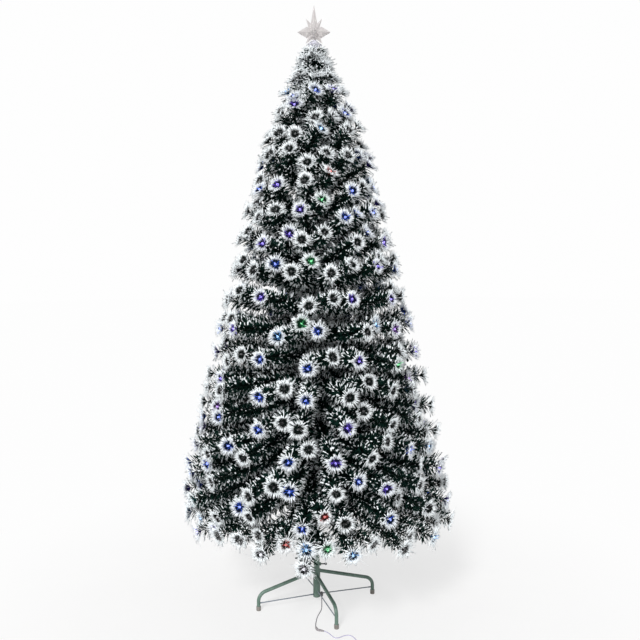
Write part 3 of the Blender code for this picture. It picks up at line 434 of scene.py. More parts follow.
for name, material in (
    ("cable_gland", gland_plastic),
    ("lead_connector", connector_plastic), ("adapter_jack", connector_plastic),
    ("coil_tie", tie_fabric), ("power_adapter", adapter_plastic),
    ("pole_lower", pole_paint), ("pole_middle", pole_paint), ("pole_upper", pole_paint),
    ("wiring_lower", wiring_plastic), ("wiring_middle", wiring_plastic),
    ("wiring_upper", wiring_plastic),
):
    finish_node(name, material)
lead.data.materials.append(lead_cover)
pale_cord.data.materials.append(cord_cover)
print("finishes on the pole, its wiring, the gland, the adapter and both cords")

# %% [markdown]
# ## Stems
# The tree has 216 stems in 19 tiers. A stem is a bottle brush: two twisted wires that grip
# needles of thin film. The frame places each stem by formula, and the same formula is
# repeated here, because needles have to grow exactly on the frame's stems. A tier's stems
# come as rows of numbers: root, direction and length. Small sine waves in a stem's number
# sway its place, slope and length, so that the stems differ but each run gives the same tree.

# %% Where the stems are
TIER_COUNT = 19
FIRST_TIER_HEIGHT = 0.432
TIER_PITCH = 0.079
TIER_AIR = 0.019
BOTTOM_REACH, TOP_REACH = 0.462, 0.047
FIRST_TIER_TURN, TIER_TURN = 5.5, 137.5
TIP_SPACING = 0.155
LOW_STEM_NUMBER, LOW_STEM_DROOP = 13, math.radians(6)
BOTTOM_SLOPE, TOP_SLOPE = -11.0, 60.0
REACH_GROWTH, SLOPE_GROWTH = 1.3, 1.5
POLE_RADIUS, COLLAR_SIDES = 0.0093, 10
COLLAR_BORE = (POLE_RADIUS + GAP) / math.cos(math.pi / COLLAR_SIDES)
ROOT_RADIUS, ROOT_INSET, ROW_STAGGER = 0.0026, 0.0008, 0.005
FEWEST_STEMS = 4
MOST_SLOPE_SWAY, AIR_SWAY = math.radians(2.5), 0.45
AZIMUTH_SWAY, LENGTH_SWAY = 0.08, 0.045
AZIMUTH_STEP, SLOPE_STEP, LENGTH_STEP = 2.4, 3.9, 5.7


def tier_numbers(index):
    """Height, slope in degrees, reach and stem count of one tier."""
    share = index / (TIER_COUNT - 1)
    reach = BOTTOM_REACH - (BOTTOM_REACH - TOP_REACH) * share ** REACH_GROWTH
    slope = BOTTOM_SLOPE + (TOP_SLOPE - BOTTOM_SLOPE) * share ** SLOPE_GROWTH
    count = max(FEWEST_STEMS, 2 * round(math.pi * reach / TIP_SPACING))
    return FIRST_TIER_HEIGHT + index * TIER_PITCH, slope, reach, count


def tier_stems(index):
    """Root, direction and length of each stem of a tier, in the tree's frame."""
    height, slope, reach, count = tier_numbers(index)
    start = COLLAR_BORE + ROOT_INSET + ROOT_RADIUS * math.sin(math.radians(abs(slope)))
    most_sway = min(MOST_SLOPE_SWAY, AIR_SWAY * TIER_AIR / reach)
    number = np.arange(count)
    seed = number % (count // 2) + index * count
    angle = 2 * math.pi / count * (number + AZIMUTH_SWAY * np.sin(AZIMUTH_STEP * seed))
    angle += math.radians(FIRST_TIER_TURN + TIER_TURN * index)
    tilt = math.radians(slope) + most_sway * np.sin(SLOPE_STEP * seed)
    if index == 0:
        tilt[LOW_STEM_NUMBER] -= LOW_STEM_DROOP
    own_reach = reach * (1 + LENGTH_SWAY * np.sin(LENGTH_STEP * seed))
    length = (own_reach - start) / np.cos(tilt)
    across, along = np.cos(angle), np.sin(angle)
    stagger = np.where(number % 2 == 1, ROW_STAGGER, -ROW_STAGGER)
    root = np.stack([start * across, start * along, height + stagger], axis=1)
    direction = np.stack([np.cos(tilt) * across, np.cos(tilt) * along, np.sin(tilt)], axis=1)
    return root, direction, length


# %% [markdown]
# The stems of a real tree are bent by hand to fill the gaps. Here side sprigs do that: each
# forks from the middle of a stem and ends about half way to the next one, in most tiers
# about two to four and a half centimetres higher. From the tenth tier up every stem has one,
# and so has each of the lowest tier, which is seen against the floor. In between, every
# second stem has one. The lowest tier has two more at its front, next to a stem that droops.

# %% Side sprigs
FULL_SPRIG_TIER = 9
SPRIG_FORK, SPRIG_REACH = 0.5, 0.93
SPRIG_LIFT, SPRIG_LIFT_SWAY = 0.034, 0.010
LOWEST_TIER_DROP = 0.028
LOW_SPRIG_LIFT = 0.046
# A stem's number, and its extra sprig's turn and lift
EXTRA_SPRIGS = ((LOW_STEM_NUMBER, 0.012, 0.0414), (12, -0.075, 0.034))


def tier_sprigs(index):
    """Root, direction and length of a tier's sprigs, the extra ones last."""
    step = 1 if index == 0 or index >= FULL_SPRIG_TIER else 2
    root, direction, length = (rows[::step] for rows in tier_stems(index))
    count = tier_numbers(index)[3]
    number = np.arange(len(length))
    turn = math.pi / count * (1 + 0.12 * np.sin(2.9 * number + index))
    lift = SPRIG_LIFT * min(1.0, length.mean() / 0.25)
    lift = lift + SPRIG_LIFT_SWAY * np.sin(3.3 * number + 2 * index)
    if index == 0:
        lift -= LOWEST_TIER_DROP
        lift[LOW_STEM_NUMBER] += LOW_SPRIG_LIFT
        number = np.append(number, [stem for stem, _, _ in EXTRA_SPRIGS])
        root, direction, length = root[number], direction[number], length[number]
        turn = np.append(turn, [more for _, more, _ in EXTRA_SPRIGS])
        lift = np.append(lift, [more for _, _, more in EXTRA_SPRIGS])
    fork = root + direction * (length * SPRIG_FORK)[:, None]
    share = SPRIG_REACH + 0.03 * np.sin(4.1 * number + index)
    tip = root + direction * (length * share)[:, None]
    across, along = tip[:, 0].copy(), tip[:, 1].copy()
    tip[:, 0] = across * np.cos(turn) - along * np.sin(turn)
    tip[:, 1] = across * np.sin(turn) + along * np.cos(turn)
    tip[:, 2] += lift
    reach = np.linalg.norm(tip - fork, axis=1)
    return fork, (tip - fork) / reach[:, None], reach


def tier_brushes(index):
    """Stems first, then sprigs: root, direction and length of every brush of a tier."""
    return [np.concatenate(rows) for rows in zip(tier_stems(index), tier_sprigs(index))]


stem_total = sum(len(tier_stems(index)[2]) for index in range(TIER_COUNT))
tip_total = sum(len(tier_brushes(index)[2]) for index in range(TIER_COUNT))
wire_total = sum(float(tier_brushes(index)[2].sum()) for index in range(TIER_COUNT))
print(f"{stem_total} stems and {tip_total - stem_total} sprigs, {wire_total:.1f} m of wire")

# %% [markdown]
# ## One needle, many times
# A real needle is a strip of film about 2 mm wide. The cheapest closed solid that looks like
# one is a sliver with four corners: an edge at the root, and an edge across it at the tip.
# Seen from any side it has a width. numpy builds all slivers of a tier at once, and the mesh
# is filled from the arrays, which is many times faster than Python lists.
#
# Two numbers ride on every corner: how far along its needle it lies, and the needle's own
# tone. The film's colour comes from these two alone, and its faint glow, which is painted
# light, is a third mark. A UV map lays the needles out by the same numbers, with a band for
# each colour of light, so that they can all be baked into one small picture.

# %% Slivers
TONE_BANDS = 16


def unit(rows):
    """Each row scaled to length 1."""
    return rows / np.linalg.norm(rows, axis=1, keepdims=True)


def across_pair(direction):
    """Two unit directions across each given direction."""
    helper = np.where(np.abs(direction[:, 2:3]) < 0.9, [[0.0, 0.0, 1.0]], [[1.0, 0.0, 0.0]])
    side = unit(np.cross(direction, helper))
    return side, np.cross(direction, side)


def slivers(start, end, start_edge, end_edge):
    """Corners and triangles (4 each a sliver) of closed slivers between two crossing edges."""
    volume = np.einsum("ij,ij->i", np.cross(start_edge, end_edge), end - start)
    end_edge = np.where(volume[:, None] < 0, -end_edge, end_edge)
    corners = np.stack([
        start - start_edge / 2, start + start_edge / 2, end - end_edge / 2, end + end_edge / 2,
    ], axis=1)
    pattern = np.array([[0, 1, 2], [0, 3, 1], [0, 2, 3], [1, 3, 2]])
    triangles = (np.arange(len(start))[:, None, None] * 4 + pattern).reshape(-1, 3)
    return corners.reshape(-1, 3), triangles


def crossing_edges(direction, turn, start_width, end_width):
    """Two edges at right angles across each direction, turned round it."""
    side, other = across_pair(direction)
    first = side * np.cos(turn)[:, None] + other * np.sin(turn)[:, None]
    second = np.cross(direction, first)
    return first * start_width[:, None], second * end_width[:, None]


# %% A mesh from arrays
def mesh_piece(name, corners, triangles, marks=None, colours=None, bake_map=None):
    """A mesh object from arrays, with named numbers and colours on its corners."""
    mesh = bpy.data.meshes.new(name)
    mesh.vertices.add(len(corners))
    mesh.vertices.foreach_set("co", np.ascontiguousarray(corners, np.float32).ravel())
    mesh.loops.add(triangles.size)
    mesh.loops.foreach_set("vertex_index", triangles.astype(np.int32).ravel())
    mesh.polygons.add(len(triangles))
    mesh.polygons.foreach_set("loop_start", np.arange(0, triangles.size, 3, dtype=np.int32))
    mesh.update(calc_edges=True)
    for mark, values in (marks or {}).items():
        layer = mesh.attributes.new(mark, "FLOAT", "POINT")
        layer.data.foreach_set("value", np.ascontiguousarray(values, np.float32))
    for mark, values in (colours or {}).items():
        layer = mesh.attributes.new(mark, "FLOAT_COLOR", "POINT")
        layer.data.foreach_set("color", np.ascontiguousarray(values, np.float32).ravel())
    if bake_map is not None:
        layer = mesh.uv_layers.new(name="OFBake")
        layer.data.foreach_set("uv", bake_map[triangles.ravel()].astype(np.float32).ravel())
    piece = bpy.data.objects.new(name, mesh)
    scene.collection.objects.link(piece)
    return piece


# %% Several arrays as one
def gather(pieces):
    """Several (corners, triangles) pairs as one."""
    corners, triangles, passed = [], [], 0
    for some_corners, some_triangles in pieces:
        corners.append(some_corners)
        triangles.append(some_triangles + passed)
        passed += len(some_corners)
    return np.concatenate(corners), np.concatenate(triangles)


# %% [markdown]
# ## Light colours
# Each stem's fibres carry one colour of light. Most lit ones are blue or violet, and a few
# are green, red or orange. Four in ten are dark at any one moment. The list holds a colour
# and its share of the tips, and draws with fixed seeds deal them out. Tips that catch the
# eye, most of them at the front, are then listed by tier and number.

# %% Light colours of the tips
LIGHTS = {
    "blue": ((0.03, 0.14, 1.00), 0.24), "sky": ((0.18, 0.56, 1.20), 0.08),
    "violet": ((0.16, 0.07, 0.85), 0.17), "purple": ((0.38, 0.14, 0.75), 0.04),
    "green": ((0.05, 0.65, 0.20), 0.020), "teal": ((0.05, 0.50, 0.50), 0.012),
    "red": ((0.60, 0.05, 0.04), 0.014), "orange": ((0.70, 0.28, 0.08), 0.008),
    # pale: a grey-white glow for fibres whose light is off, painted light where they look white
    "off": ((0.05, 0.05, 0.06), 0.412), "pale": ((0.60, 0.60, 0.66), 0.0),
}
LIGHT_NAMES = list(LIGHTS)
light_rows = np.array([LIGHTS[name][0] for name in LIGHT_NAMES])
light_shares = np.array([LIGHTS[name][1] for name in LIGHT_NAMES])
light_shares = light_shares / light_shares.sum()

CHOSEN_LIGHTS = {
    # These two tips are unlit ones given the pale painted glow
    "pale": [(0, 12), (0, 13)],
    "blue": [(1, 20), (2, 18), (3, 10), (4, 2), (5, 12), (6, 5), (6, 6), (9, 14), (11, 16)],
    "sky": [(0, 14), (0, 36), (14, 8)],
    "violet": [(3, 11), (4, 4), (6, 7), (8, 9), (9, 5), (11, 5), (11, 17), (12, 8)],
    "green": [(0, 31), (7, 14), (9, 15), (11, 15)],
    "red": [(0, 30), (1, 21), (12, 9)],
    "off": [(0, 37), (2, 0), (3, 24), (4, 17), (5, 14), (5, 23), (6, 4), (6, 16), (8, 8),
            (8, 16), (9, 16), (10, 0), (10, 9), (10, 19), (11, 4), (11, 12), (11, 13),
            (13, 6), (13, 7), (14, 2), (14, 3), (14, 7), (15, 10), (17, 1), (17, 2),
            (18, 0), (18, 4), (18, 7)],
}


def tier_lights(index, count):
    """Which light each brush of a tier carries, as numbers into the list."""
    draw = np.random.default_rng(500 + index)
    lights = draw.choice(len(LIGHT_NAMES), count, p=light_shares)
    for name, tips in CHOSEN_LIGHTS.items():
        lights[[number for tier, number in tips if tier == index]] = LIGHT_NAMES.index(name)
    return lights


print(f"{sum(len(tips) for tips in CHOSEN_LIGHTS.values())} of {tip_total} tips chosen by hand")

# %% [markdown]
# ## Needles on a stem
# The twisted wires hold the needles in two rows that wind round the stem, so a brush shows
# bands of tips with darker gaps between them. Along the stem the needles lean forward.

# %% Needle arrays of one stem
NEEDLES_PER_METRE = 540
DARK_PER_METRE = 760
TWIST_PITCH = 0.036
WIRE_RADIUS = 0.0014
NEEDLE_LEAN, LEAN_SPREAD = 61, 9
ROOT_WIDTHS, END_WIDTHS = (0.0022, 0.0032), (0.0036, 0.0052)
ABOUT_ONE_TURN = 6.28
GOLDEN_TURN = 2.399963


def stem_needles(root, direction, stretch, draw, per_metre, reach, spread, width):
    """Start, end and the two crossing edges of the needles along a stretch of one stem."""
    first, last = stretch
    count = max(2, int((last - first) * per_metre))
    place = np.linspace(first, last, count) + draw.normal(0, 0.0012, count)
    winding = 2 * math.pi * place / TWIST_PITCH + math.pi * (np.arange(count) % 2)
    winding = winding + draw.normal(0, 0.60, count) + draw.uniform(0, ABOUT_ONE_TURN)
    lean = np.radians(draw.normal(NEEDLE_LEAN, LEAN_SPREAD, count))
    far = draw.normal(reach, spread, count) * np.clip(place / 0.05, 0.6, 1.0)
    side, other = across_pair(direction[None, :])
    away = np.cos(winding)[:, None] * side + np.sin(winding)[:, None] * other
    start = root + place[:, None] * direction + away * WIRE_RADIUS * 0.6
    run = np.cos(lean)[:, None] * direction + np.sin(lean)[:, None] * away
    edges = crossing_edges(
        run, draw.uniform(0, math.pi, count), width * draw.uniform(*ROOT_WIDTHS, count),
        width * draw.uniform(*END_WIDTHS, count),
    )
    return start, start + run * far[:, None], *edges


# %% [markdown]
# ## The wreath at a stem's tip
# At the tip the needles crowd together and fan out like a funnel. Each runs outward first,
# dark, and then bends forward, white with frost and a faint painted white glow. Seen from
# the front, the white halves make a wreath round a dark middle, and seen at an angle its far
# side shows as a broad white crescent. A bent needle is two slivers that share the edge at
# the bend, where the film is widest. Every third needle is twisted there, so its white half
# is narrow at the bend and broad at the tip.
# Turned by the golden angle from one to the next, the needles never line up.

# %% Wreath arrays of one stem
WREATH_NEEDLES = 106
WREATH_TILT = 0.30
BEND_OUT, TIP_BEYOND_BEND = 0.0152, 0.0132
BLUNT_WIDTH, SHARP_WIDTH = 0.0016, 0.0010


def stem_wreath(root, direction, length, draw):
    """Two rows of slivers: from the wire to the bend, and from the bend to the tip."""
    count = WREATH_NEEDLES
    winding = np.arange(count) * GOLDEN_TURN + draw.normal(0, 0.10, count)
    side, other = across_pair(direction[None, :])
    away = np.cos(winding)[:, None] * side + np.sin(winding)[:, None] * other
    around = np.cross(direction[None, :], away)
    size = draw.uniform(0.84, 1.04)
    tilt = draw.uniform(0, WREATH_TILT) * np.cos(winding - draw.uniform(0, ABOUT_ONE_TURN))
    foot = length - draw.uniform(0.012, 0.020, count)
    bend_out = size * draw.normal(BEND_OUT, 0.0018, count)
    bend_up = length + draw.uniform(-0.010, -0.005, count) + tilt * bend_out
    tip_out = bend_out + size * draw.normal(TIP_BEYOND_BEND, 0.0040, count)
    tip_up = bend_up + draw.uniform(0.002, 0.014, count) + tilt * 0.015
    start = root + foot[:, None] * direction + away * WIRE_RADIUS * 0.6
    bend = root + bend_up[:, None] * direction + bend_out[:, None] * away
    tip = root + tip_up[:, None] * direction + tip_out[:, None] * away
    widest = draw.uniform(0.0038, 0.0058, count)[:, None] * around
    blunt = np.arange(count)[:, None] % 3 == 1
    upright = unit(np.cross(around, tip - bend))
    inner = (start, bend, unit(np.cross(around, bend - start)) * 0.0012, widest)
    outer = (bend, tip, np.where(blunt, upright * BLUNT_WIDTH, widest),
             np.where(blunt, widest * 0.6, upright * SHARP_WIDTH))
    return inner, outer


# %% [markdown]
# The frost is sprayed-on white at the needle's outer part. Its edge lies at a different
# place on each needle, so the group compares how far along a point is with a start that the
# tone moves. Deep in the brush the film is almost black green.

# %% Group: frosted film
frosting, given, result = new_group(
    "frosted_film",
    [("Deep green", "Color"), ("Fresh green", "Color"), ("Frost", "Color"),
     ("Start", "Float"), ("Spread", "Float"), ("Softness", "Float")],
    [("Colour", "Color")],
)
along = add(frosting, "Attribute", attribute_name="along").outputs["Fac"]
tone = add(frosting, "Attribute", attribute_name="tone").outputs["Fac"]
start = add(frosting, "Math", {0: tone, 1: given.outputs["Spread"], 2: given.outputs["Start"]},
            operation="MULTIPLY_ADD")
beyond = add(frosting, "Math", {0: along, 1: start.outputs[0]}, operation="SUBTRACT")
soft = add(frosting, "Math", {0: beyond.outputs[0], 1: given.outputs["Softness"]},
           operation="DIVIDE", use_clamp=True)
film = add(frosting, "Mix", {
    0: tone, 6: given.outputs["Deep green"], 7: given.outputs["Fresh green"],
}, data_type="RGBA")
frosted = add(frosting, "Mix", {
    0: soft.outputs[0], 6: film.outputs[2], 7: given.outputs["Frost"],
}, data_type="RGBA")
frosting.links.new(frosted.outputs[2], result.inputs["Colour"])
print("group:", frosting.name)


# %% Material: needle film
def needle_film(name, deep, fresh, frost, start, spread, softness, painted_glow_strength):
    """Frosted film with painted light: a glow from its corners, in the fibres' colour near the tips
    and white on some needles.
    """
    material, tree, shader = new_material(name, 0.7)
    frosted = place_group(tree, frosting, {
        "Deep green": deep, "Fresh green": fresh, "Frost": frost,
        "Start": start, "Spread": spread, "Softness": softness,
    })
    tree.links.new(frosted.outputs["Colour"], shader.inputs["Base Color"])
    # Painted light: the needles glow with the colour held in their glow mark
    glow = add(tree, "Attribute", attribute_name="glow").outputs["Color"]
    tree.links.new(glow, shader.inputs["Emission Color"])
    shader.inputs["Emission Strength"].default_value = painted_glow_strength
    shader.inputs["Specular IOR Level"].default_value = 0.06
    return material


needle_material = needle_film(
    "frosted_needle_film", (0.0012, 0.004, 0.0032, 1), (0.004, 0.026, 0.019, 1),
    (0.92, 0.965, 0.985, 1), start=0.50, spread=0.32, softness=0.05, painted_glow_strength=1.0,
)
print("needle film:", needle_material.name)

# %% [markdown]
# All needles of a tier are one piece, because Blender would stall with over a hundred thousand
# objects. Besides the stems' own needles, rings of needles round the pole hide it between
# the stems, and thin pale whiskers, frosted and with a painted white glow, stand round the
# tips of the lowest tier.

# %% Marks and pieces of needles
BODY_OF_TIER = ["lower_section"] * 6 + ["middle_section"] * 7 + ["upper_section"] * 6
KINDS = len(LIGHT_NAMES) + 1


def needle_marks(draw, count, along_ends, tones, light=None, painted_fibre_light=(0.0, 0.0)):
    """Along, tone, painted glow and map corners of a row of slivers."""
    band = draw.integers(tones[0], tones[1], count)
    along = np.tile(np.repeat(along_ends, 2), count)
    painted_glow = np.zeros((count, 4, 4))
    painted_glow[:, :, 3] = 1
    kind = np.zeros(count, int)
    if light is not None:
        kind[:] = light + 1
        # Painted light: the colour of the tip's light goes on the needles' corners as a glow, for the
        # fibres' light falling on them
        painted_glow[:, :2, :3] = light_rows[light] * painted_fibre_light[0]
        painted_glow[:, 2:, :3] = light_rows[light] * painted_fibre_light[1]
    height = np.repeat(kind * TONE_BANDS + band, 4) + np.tile([0.2, 0.8, 0.2, 0.8], count)
    bake_map = np.stack([along, height / (KINDS * TONE_BANDS)], axis=1)
    return along, np.repeat((band + 0.5) / TONE_BANDS, 4), painted_glow.reshape(-1, 4), bake_map


def needle_piece(name, rows, marks, body, node):
    """One piece from rows of slivers and their marks; gives how many slivers it has."""
    corners, triangles = gather([slivers(*row) for row in rows])
    along, tone, painted_glow, bake_map = (np.concatenate(part) for part in zip(*marks))
    piece = mesh_piece(
        name, corners, triangles, {"along": along, "tone": tone}, {"glow": painted_glow}, bake_map
    )
    piece.data.materials.append(needle_material)
    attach(piece, body)
    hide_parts(node)
    return len(corners) // 4


# %% Needles round the pole
COLLAR_NEEDLES, COLLAR_SURFACE, COLLAR_REACH = 360, 0.0145, 0.052


def collar_needles(height, draw):
    """Needles round the pole at one height, which hide it between the stems."""
    count = COLLAR_NEEDLES
    winding = draw.uniform(0, 2 * math.pi, count)
    rise = np.radians(draw.uniform(-42, 42, count))
    away = np.stack([np.cos(winding), np.sin(winding), np.zeros(count)], axis=1)
    up = np.array([[0.0, 0.0, 1.0]])
    start = away * COLLAR_SURFACE + up * (height + draw.uniform(-0.014, 0.014, count))[:, None]
    run = away * np.cos(rise)[:, None] + up * np.sin(rise)[:, None]
    edges = crossing_edges(run, draw.uniform(0, math.pi, count), np.full(count, 0.0018),
                           draw.uniform(0.0024, 0.0034, count))
    return start, start + run * draw.normal(COLLAR_REACH, 0.006, count)[:, None], *edges


# %% Whiskers round a tip
WHISKERS_PER_METRE, WHISKER_REACH, WHISKER_SPREAD = 2600, 0.052, 0.005
WHISKERS_FROM, WHISKERS_TO = 0.018, 0.008
WHISKER_WIDTH, WHISKER_AHEAD, WHISKER_PAINTED_GLOW = 0.30, 0.004, 0.35


def tip_whiskers(root, direction, length, draw):
    """Thin pale needles round a tip, cut off a little ahead of it, and their marks, with a painted
    white glow.
    """
    stretch = (length - WHISKERS_FROM, length - WHISKERS_TO)
    start, end, *edges = stem_needles(root, direction, stretch, draw, WHISKERS_PER_METRE,
                                      WHISKER_REACH, WHISKER_SPREAD, WHISKER_WIDTH)
    ahead = (end - root) @ direction - (length + WHISKER_AHEAD)
    end = end - np.maximum(ahead, 0)[:, None] * direction
    marks = needle_marks(draw, len(start), (0.6, 1.0), (0, 2))
    # Painted light: the whiskers glow white all over, so that they read pale on every side
    marks[2][:, :3] = WHISKER_PAINTED_GLOW
    return (start, end, *edges), marks


# %% Needle pieces, one for each tier
NEEDLE_REACH, DARK_REACH = 0.039, 0.033
FIRST_NEEDLE, TIP_STRETCH, LAST_NEEDLE, DARK_END = 0.012, 0.030, 0.012, 0.040
TIP_ROW_PER_METRE = 700
# Painted light: a faint white glow on the outer halves of the wreath needles makes the band whiter
WREATH_PAINTED_WHITE_GLOW = 0.06
# Painted fibre light on the inner and outer halves of the wreath needles, at the two ends of each half
INNER_PAINTED_FIBRE_LIGHT, OUTER_PAINTED_FIBRE_LIGHT = (0.06, 0.01), (0.03, 0.01)
FIRST_UPPER_TIER = 13
DARK_TONES, LIVELY_TONES = (0, 6), (4, TONE_BANDS)


def tier_needles(index):
    """All needles of a tier as one piece; gives how many slivers they take."""
    draw = np.random.default_rng(index)
    rows, marks = [], []
    brushes = tier_brushes(index)
    for root, direction, length, light in zip(*brushes, tier_lights(index, len(brushes[0]))):
        tip_tones = DARK_TONES if index < FIRST_UPPER_TIER else LIVELY_TONES
        for stretch, per_metre, reach, spread, width, along_ends, tones in (
            ((FIRST_NEEDLE, length - TIP_STRETCH), NEEDLES_PER_METRE, NEEDLE_REACH, 0.0035, 1.0,
             (0.0, 1.0), LIVELY_TONES),
            ((FIRST_NEEDLE, length - DARK_END), DARK_PER_METRE, DARK_REACH, 0.005, 1.0,
             (0.0, 0.4), LIVELY_TONES),
            ((length - TIP_STRETCH, length - LAST_NEEDLE), TIP_ROW_PER_METRE, NEEDLE_REACH,
             0.003, 0.7, (0.3, 1.0), tip_tones),
        ):
            row = stem_needles(root, direction, stretch, draw, per_metre, reach, spread, width)
            rows.append(row)
            marks.append(needle_marks(draw, len(row[0]), along_ends, tones))
        if index == 0:
            whiskers, whisker_marks = tip_whiskers(root, direction, length, draw)
            rows.append(whiskers)
            marks.append(whisker_marks)
        rows += stem_wreath(root, direction, length, draw)
        marks.append(needle_marks(draw, WREATH_NEEDLES, (0.0, 0.5), (0, 3), light, INNER_PAINTED_FIBRE_LIGHT))
        outer = needle_marks(draw, WREATH_NEEDLES, (0.5, 1.0), (0, 3), light, OUTER_PAINTED_FIBRE_LIGHT)
        # Painted light: the outer halves also glow faintly white
        outer[2][:, :3] += WREATH_PAINTED_WHITE_GLOW
        marks.append(outer)
    height = tier_numbers(index)[0]
    below = (height - 0.035, height - 0.065) if index == 0 else ()
    for place in (height, height + TIER_PITCH / 2, *below):
        rows.append(collar_needles(place, draw))
        marks.append(needle_marks(draw, COLLAR_NEEDLES, (0.0, 1.0), LIVELY_TONES))
    return needle_piece(
        f"needles_tier_{index + 1:02d}", rows, marks, BODY_OF_TIER[index],
        f"branch_tier_{index + 1:02d}",
    )


sliver_total = sum(tier_needles(index) for index in range(TIER_COUNT))
bent_total = tip_total * WREATH_NEEDLES
print(f"{sliver_total} slivers for {sliver_total - bent_total} needles, {bent_total} of them bent")

# %% [markdown]
# ## Tubes and rings
# Wires, legs, rods, caps and the post are one kind of solid: a row of centres, an oval ring
# round each, and a flat face at both ends. Collars, the nut and the sleeve are another: a
# closed profile turned round the z axis. One helper builds each kind from arrays.

# %% Swept and turned solids
def closed_sweep(centres, first, second, radii_first, radii_second, turns, sides):
    """A closed tube of oval sections along a row of centres; gives corners and triangles."""
    around = np.arange(sides) / sides * 2 * math.pi
    oval_first = np.cos(around)[None, :] * radii_first[:, None]
    oval_second = np.sin(around)[None, :] * radii_second[:, None]
    cosine, sine = np.cos(turns)[:, None], np.sin(turns)[:, None]
    across_first = oval_first * cosine - oval_second * sine
    across_second = oval_first * sine + oval_second * cosine
    corners = (centres[:, None, :] + across_first[:, :, None] * first
               + across_second[:, :, None] * second)
    rings = len(centres)
    here = np.arange(rings - 1)[:, None] * sides + np.arange(sides)
    there = np.arange(rings - 1)[:, None] * sides + (np.arange(sides) + 1) % sides
    walls = np.concatenate([
        np.stack([here, there, there + sides], axis=2).reshape(-1, 3),
        np.stack([here, there + sides, here + sides], axis=2).reshape(-1, 3),
    ])
    fan = np.arange(1, sides - 1)
    foot = np.stack([np.zeros_like(fan), fan + 1, fan], axis=1)
    head = np.stack([np.zeros_like(fan), fan, fan + 1], axis=1) + (rings - 1) * sides
    return corners.reshape(-1, 3), np.concatenate([walls, foot, head])


def turned_arrays(profile, sides, centre=(0, 0, 0)):
    """A closed profile of (radius, height) turned round the z axis."""
    profile = np.array(profile)
    around = np.arange(sides) / sides * 2 * math.pi
    corners = np.stack([
        profile[:, :1] * np.cos(around), profile[:, :1] * np.sin(around),
        np.repeat(profile[:, 1:], sides, axis=1),
    ], axis=2).reshape(-1, 3) + np.array(centre)
    ring = np.arange(len(profile))[:, None] * sides
    next_ring = (np.arange(len(profile))[:, None] + 1) % len(profile) * sides
    here, there = np.arange(sides), (np.arange(sides) + 1) % sides
    return corners, np.concatenate([
        np.stack([ring + here, ring + there, next_ring + there], axis=2).reshape(-1, 3),
        np.stack([ring + here, next_ring + there, next_ring + here], axis=2).reshape(-1, 3),
    ])


# %% [markdown]
# ## Twisted wires and collars
# Under the needles each stem is a pair of dark green wires twisted together. A flattened
# tube that turns as it runs outward gives that look with few faces. The collar that holds
# the tier on the pole is a short ring with bevelled rims.

# %% Wires and collars
WIRE_SIDES = 6
WIRE_STEP = 0.009
WIRE_WIDE, WIRE_NARROW, WIRE_END, WIRE_TWIST = 0.0021, 0.0012, 0.006, 0.006
COLLAR_OUTSIDE, COLLAR_HALF, COLLAR_EDGE = 0.0160, 0.012, 0.0015

wire_cover = moulded_plastic(
    "dark_green_wire_cover", (0.010, 0.034, 0.022, 1), (0.005, 0.018, 0.012, 1), 0.5, 1800.0)


def tier_wires(index):
    """The twisted wires of a tier and the collar that they hang on."""
    height = tier_numbers(index)[0]
    pieces = []
    for root, direction, length in zip(*tier_brushes(index)):
        steps = np.linspace(0, length - WIRE_END, max(3, int(length / WIRE_STEP)))
        first, second = across_pair(direction[None, :])
        pieces.append(closed_sweep(
            root + steps[:, None] * direction, first[0], second[0],
            np.full(len(steps), WIRE_WIDE), np.full(len(steps), WIRE_NARROW),
            steps / WIRE_TWIST, WIRE_SIDES,
        ))
    inner, outer, half = COLLAR_BORE, COLLAR_OUTSIDE, COLLAR_HALF
    pieces.append(turned_arrays([
        (inner, -half), (outer - COLLAR_EDGE, -half), (outer, -half + COLLAR_EDGE),
        (outer, half - COLLAR_EDGE), (outer - COLLAR_EDGE, half), (inner, half),
    ], 24, (0, 0, height)))
    piece = mesh_piece(f"stem_wires_tier_{index + 1:02d}", *gather(pieces))
    piece.data.materials.append(wire_cover)
    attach(piece, BODY_OF_TIER[index])
    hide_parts(f"branch_tier_{index + 1:02d}")


for index in range(TIER_COUNT):
    tier_wires(index)
print(f"wires and collars on {TIER_COUNT} tiers")

# %% [markdown]
# ## Light fibres
# The fibres run along the wires and come out in the middle of the needle funnel. The ones
# that point forward show their cut ends and shine brightest, in a paler shade. Those that
# spread sideways show their flanks, which only leak a little light, so they make a dark
# coloured star round the bright core. Two colours ride on the corners: the plastic's colour,
# painted on lit fibres mostly in the colour of their light, and the light itself.

# %% Material: light fibre
FIBRE_GLOW = 1.2


def fibre_plastic():
    """Plastic fibre with the colour and the glow that ride on its corners."""
    material, tree, shader = new_material("light_fibre", 0.35)
    glow = add(tree, "Attribute", attribute_name="glow").outputs["Color"]
    along = add(tree, "Attribute", attribute_name="along").outputs["Fac"]
    body = add(tree, "Attribute", attribute_name="body").outputs["Color"]
    tree.links.new(body, shader.inputs["Base Color"])
    brighter = add(tree, "MapRange", {"Value": along, 3: 0.35, 4: 1.0})
    shining = add(tree, "Mix", {0: brighter.outputs[0], 6: (0, 0, 0, 1), 7: glow},
                  data_type="RGBA")
    tree.links.new(shining.outputs[2], shader.inputs["Emission Color"])
    shader.inputs["Emission Strength"].default_value = FIBRE_GLOW
    return material


fibre_material = fibre_plastic()
print("fibre plastic:", fibre_material.name)

# %% Shape and colours of a tuft
CORE_FIBRES = 6
SPREAD_FIBRES = 10
FIBRES_PER_TIP = CORE_FIBRES + SPREAD_FIBRES
UNLIT_FIBRE = np.array([0.20, 0.20, 0.21])
TUFT_DEPTH, CORE_LEAN, SPREAD_LEAN = 0.013, (2, 20), (46, 76)


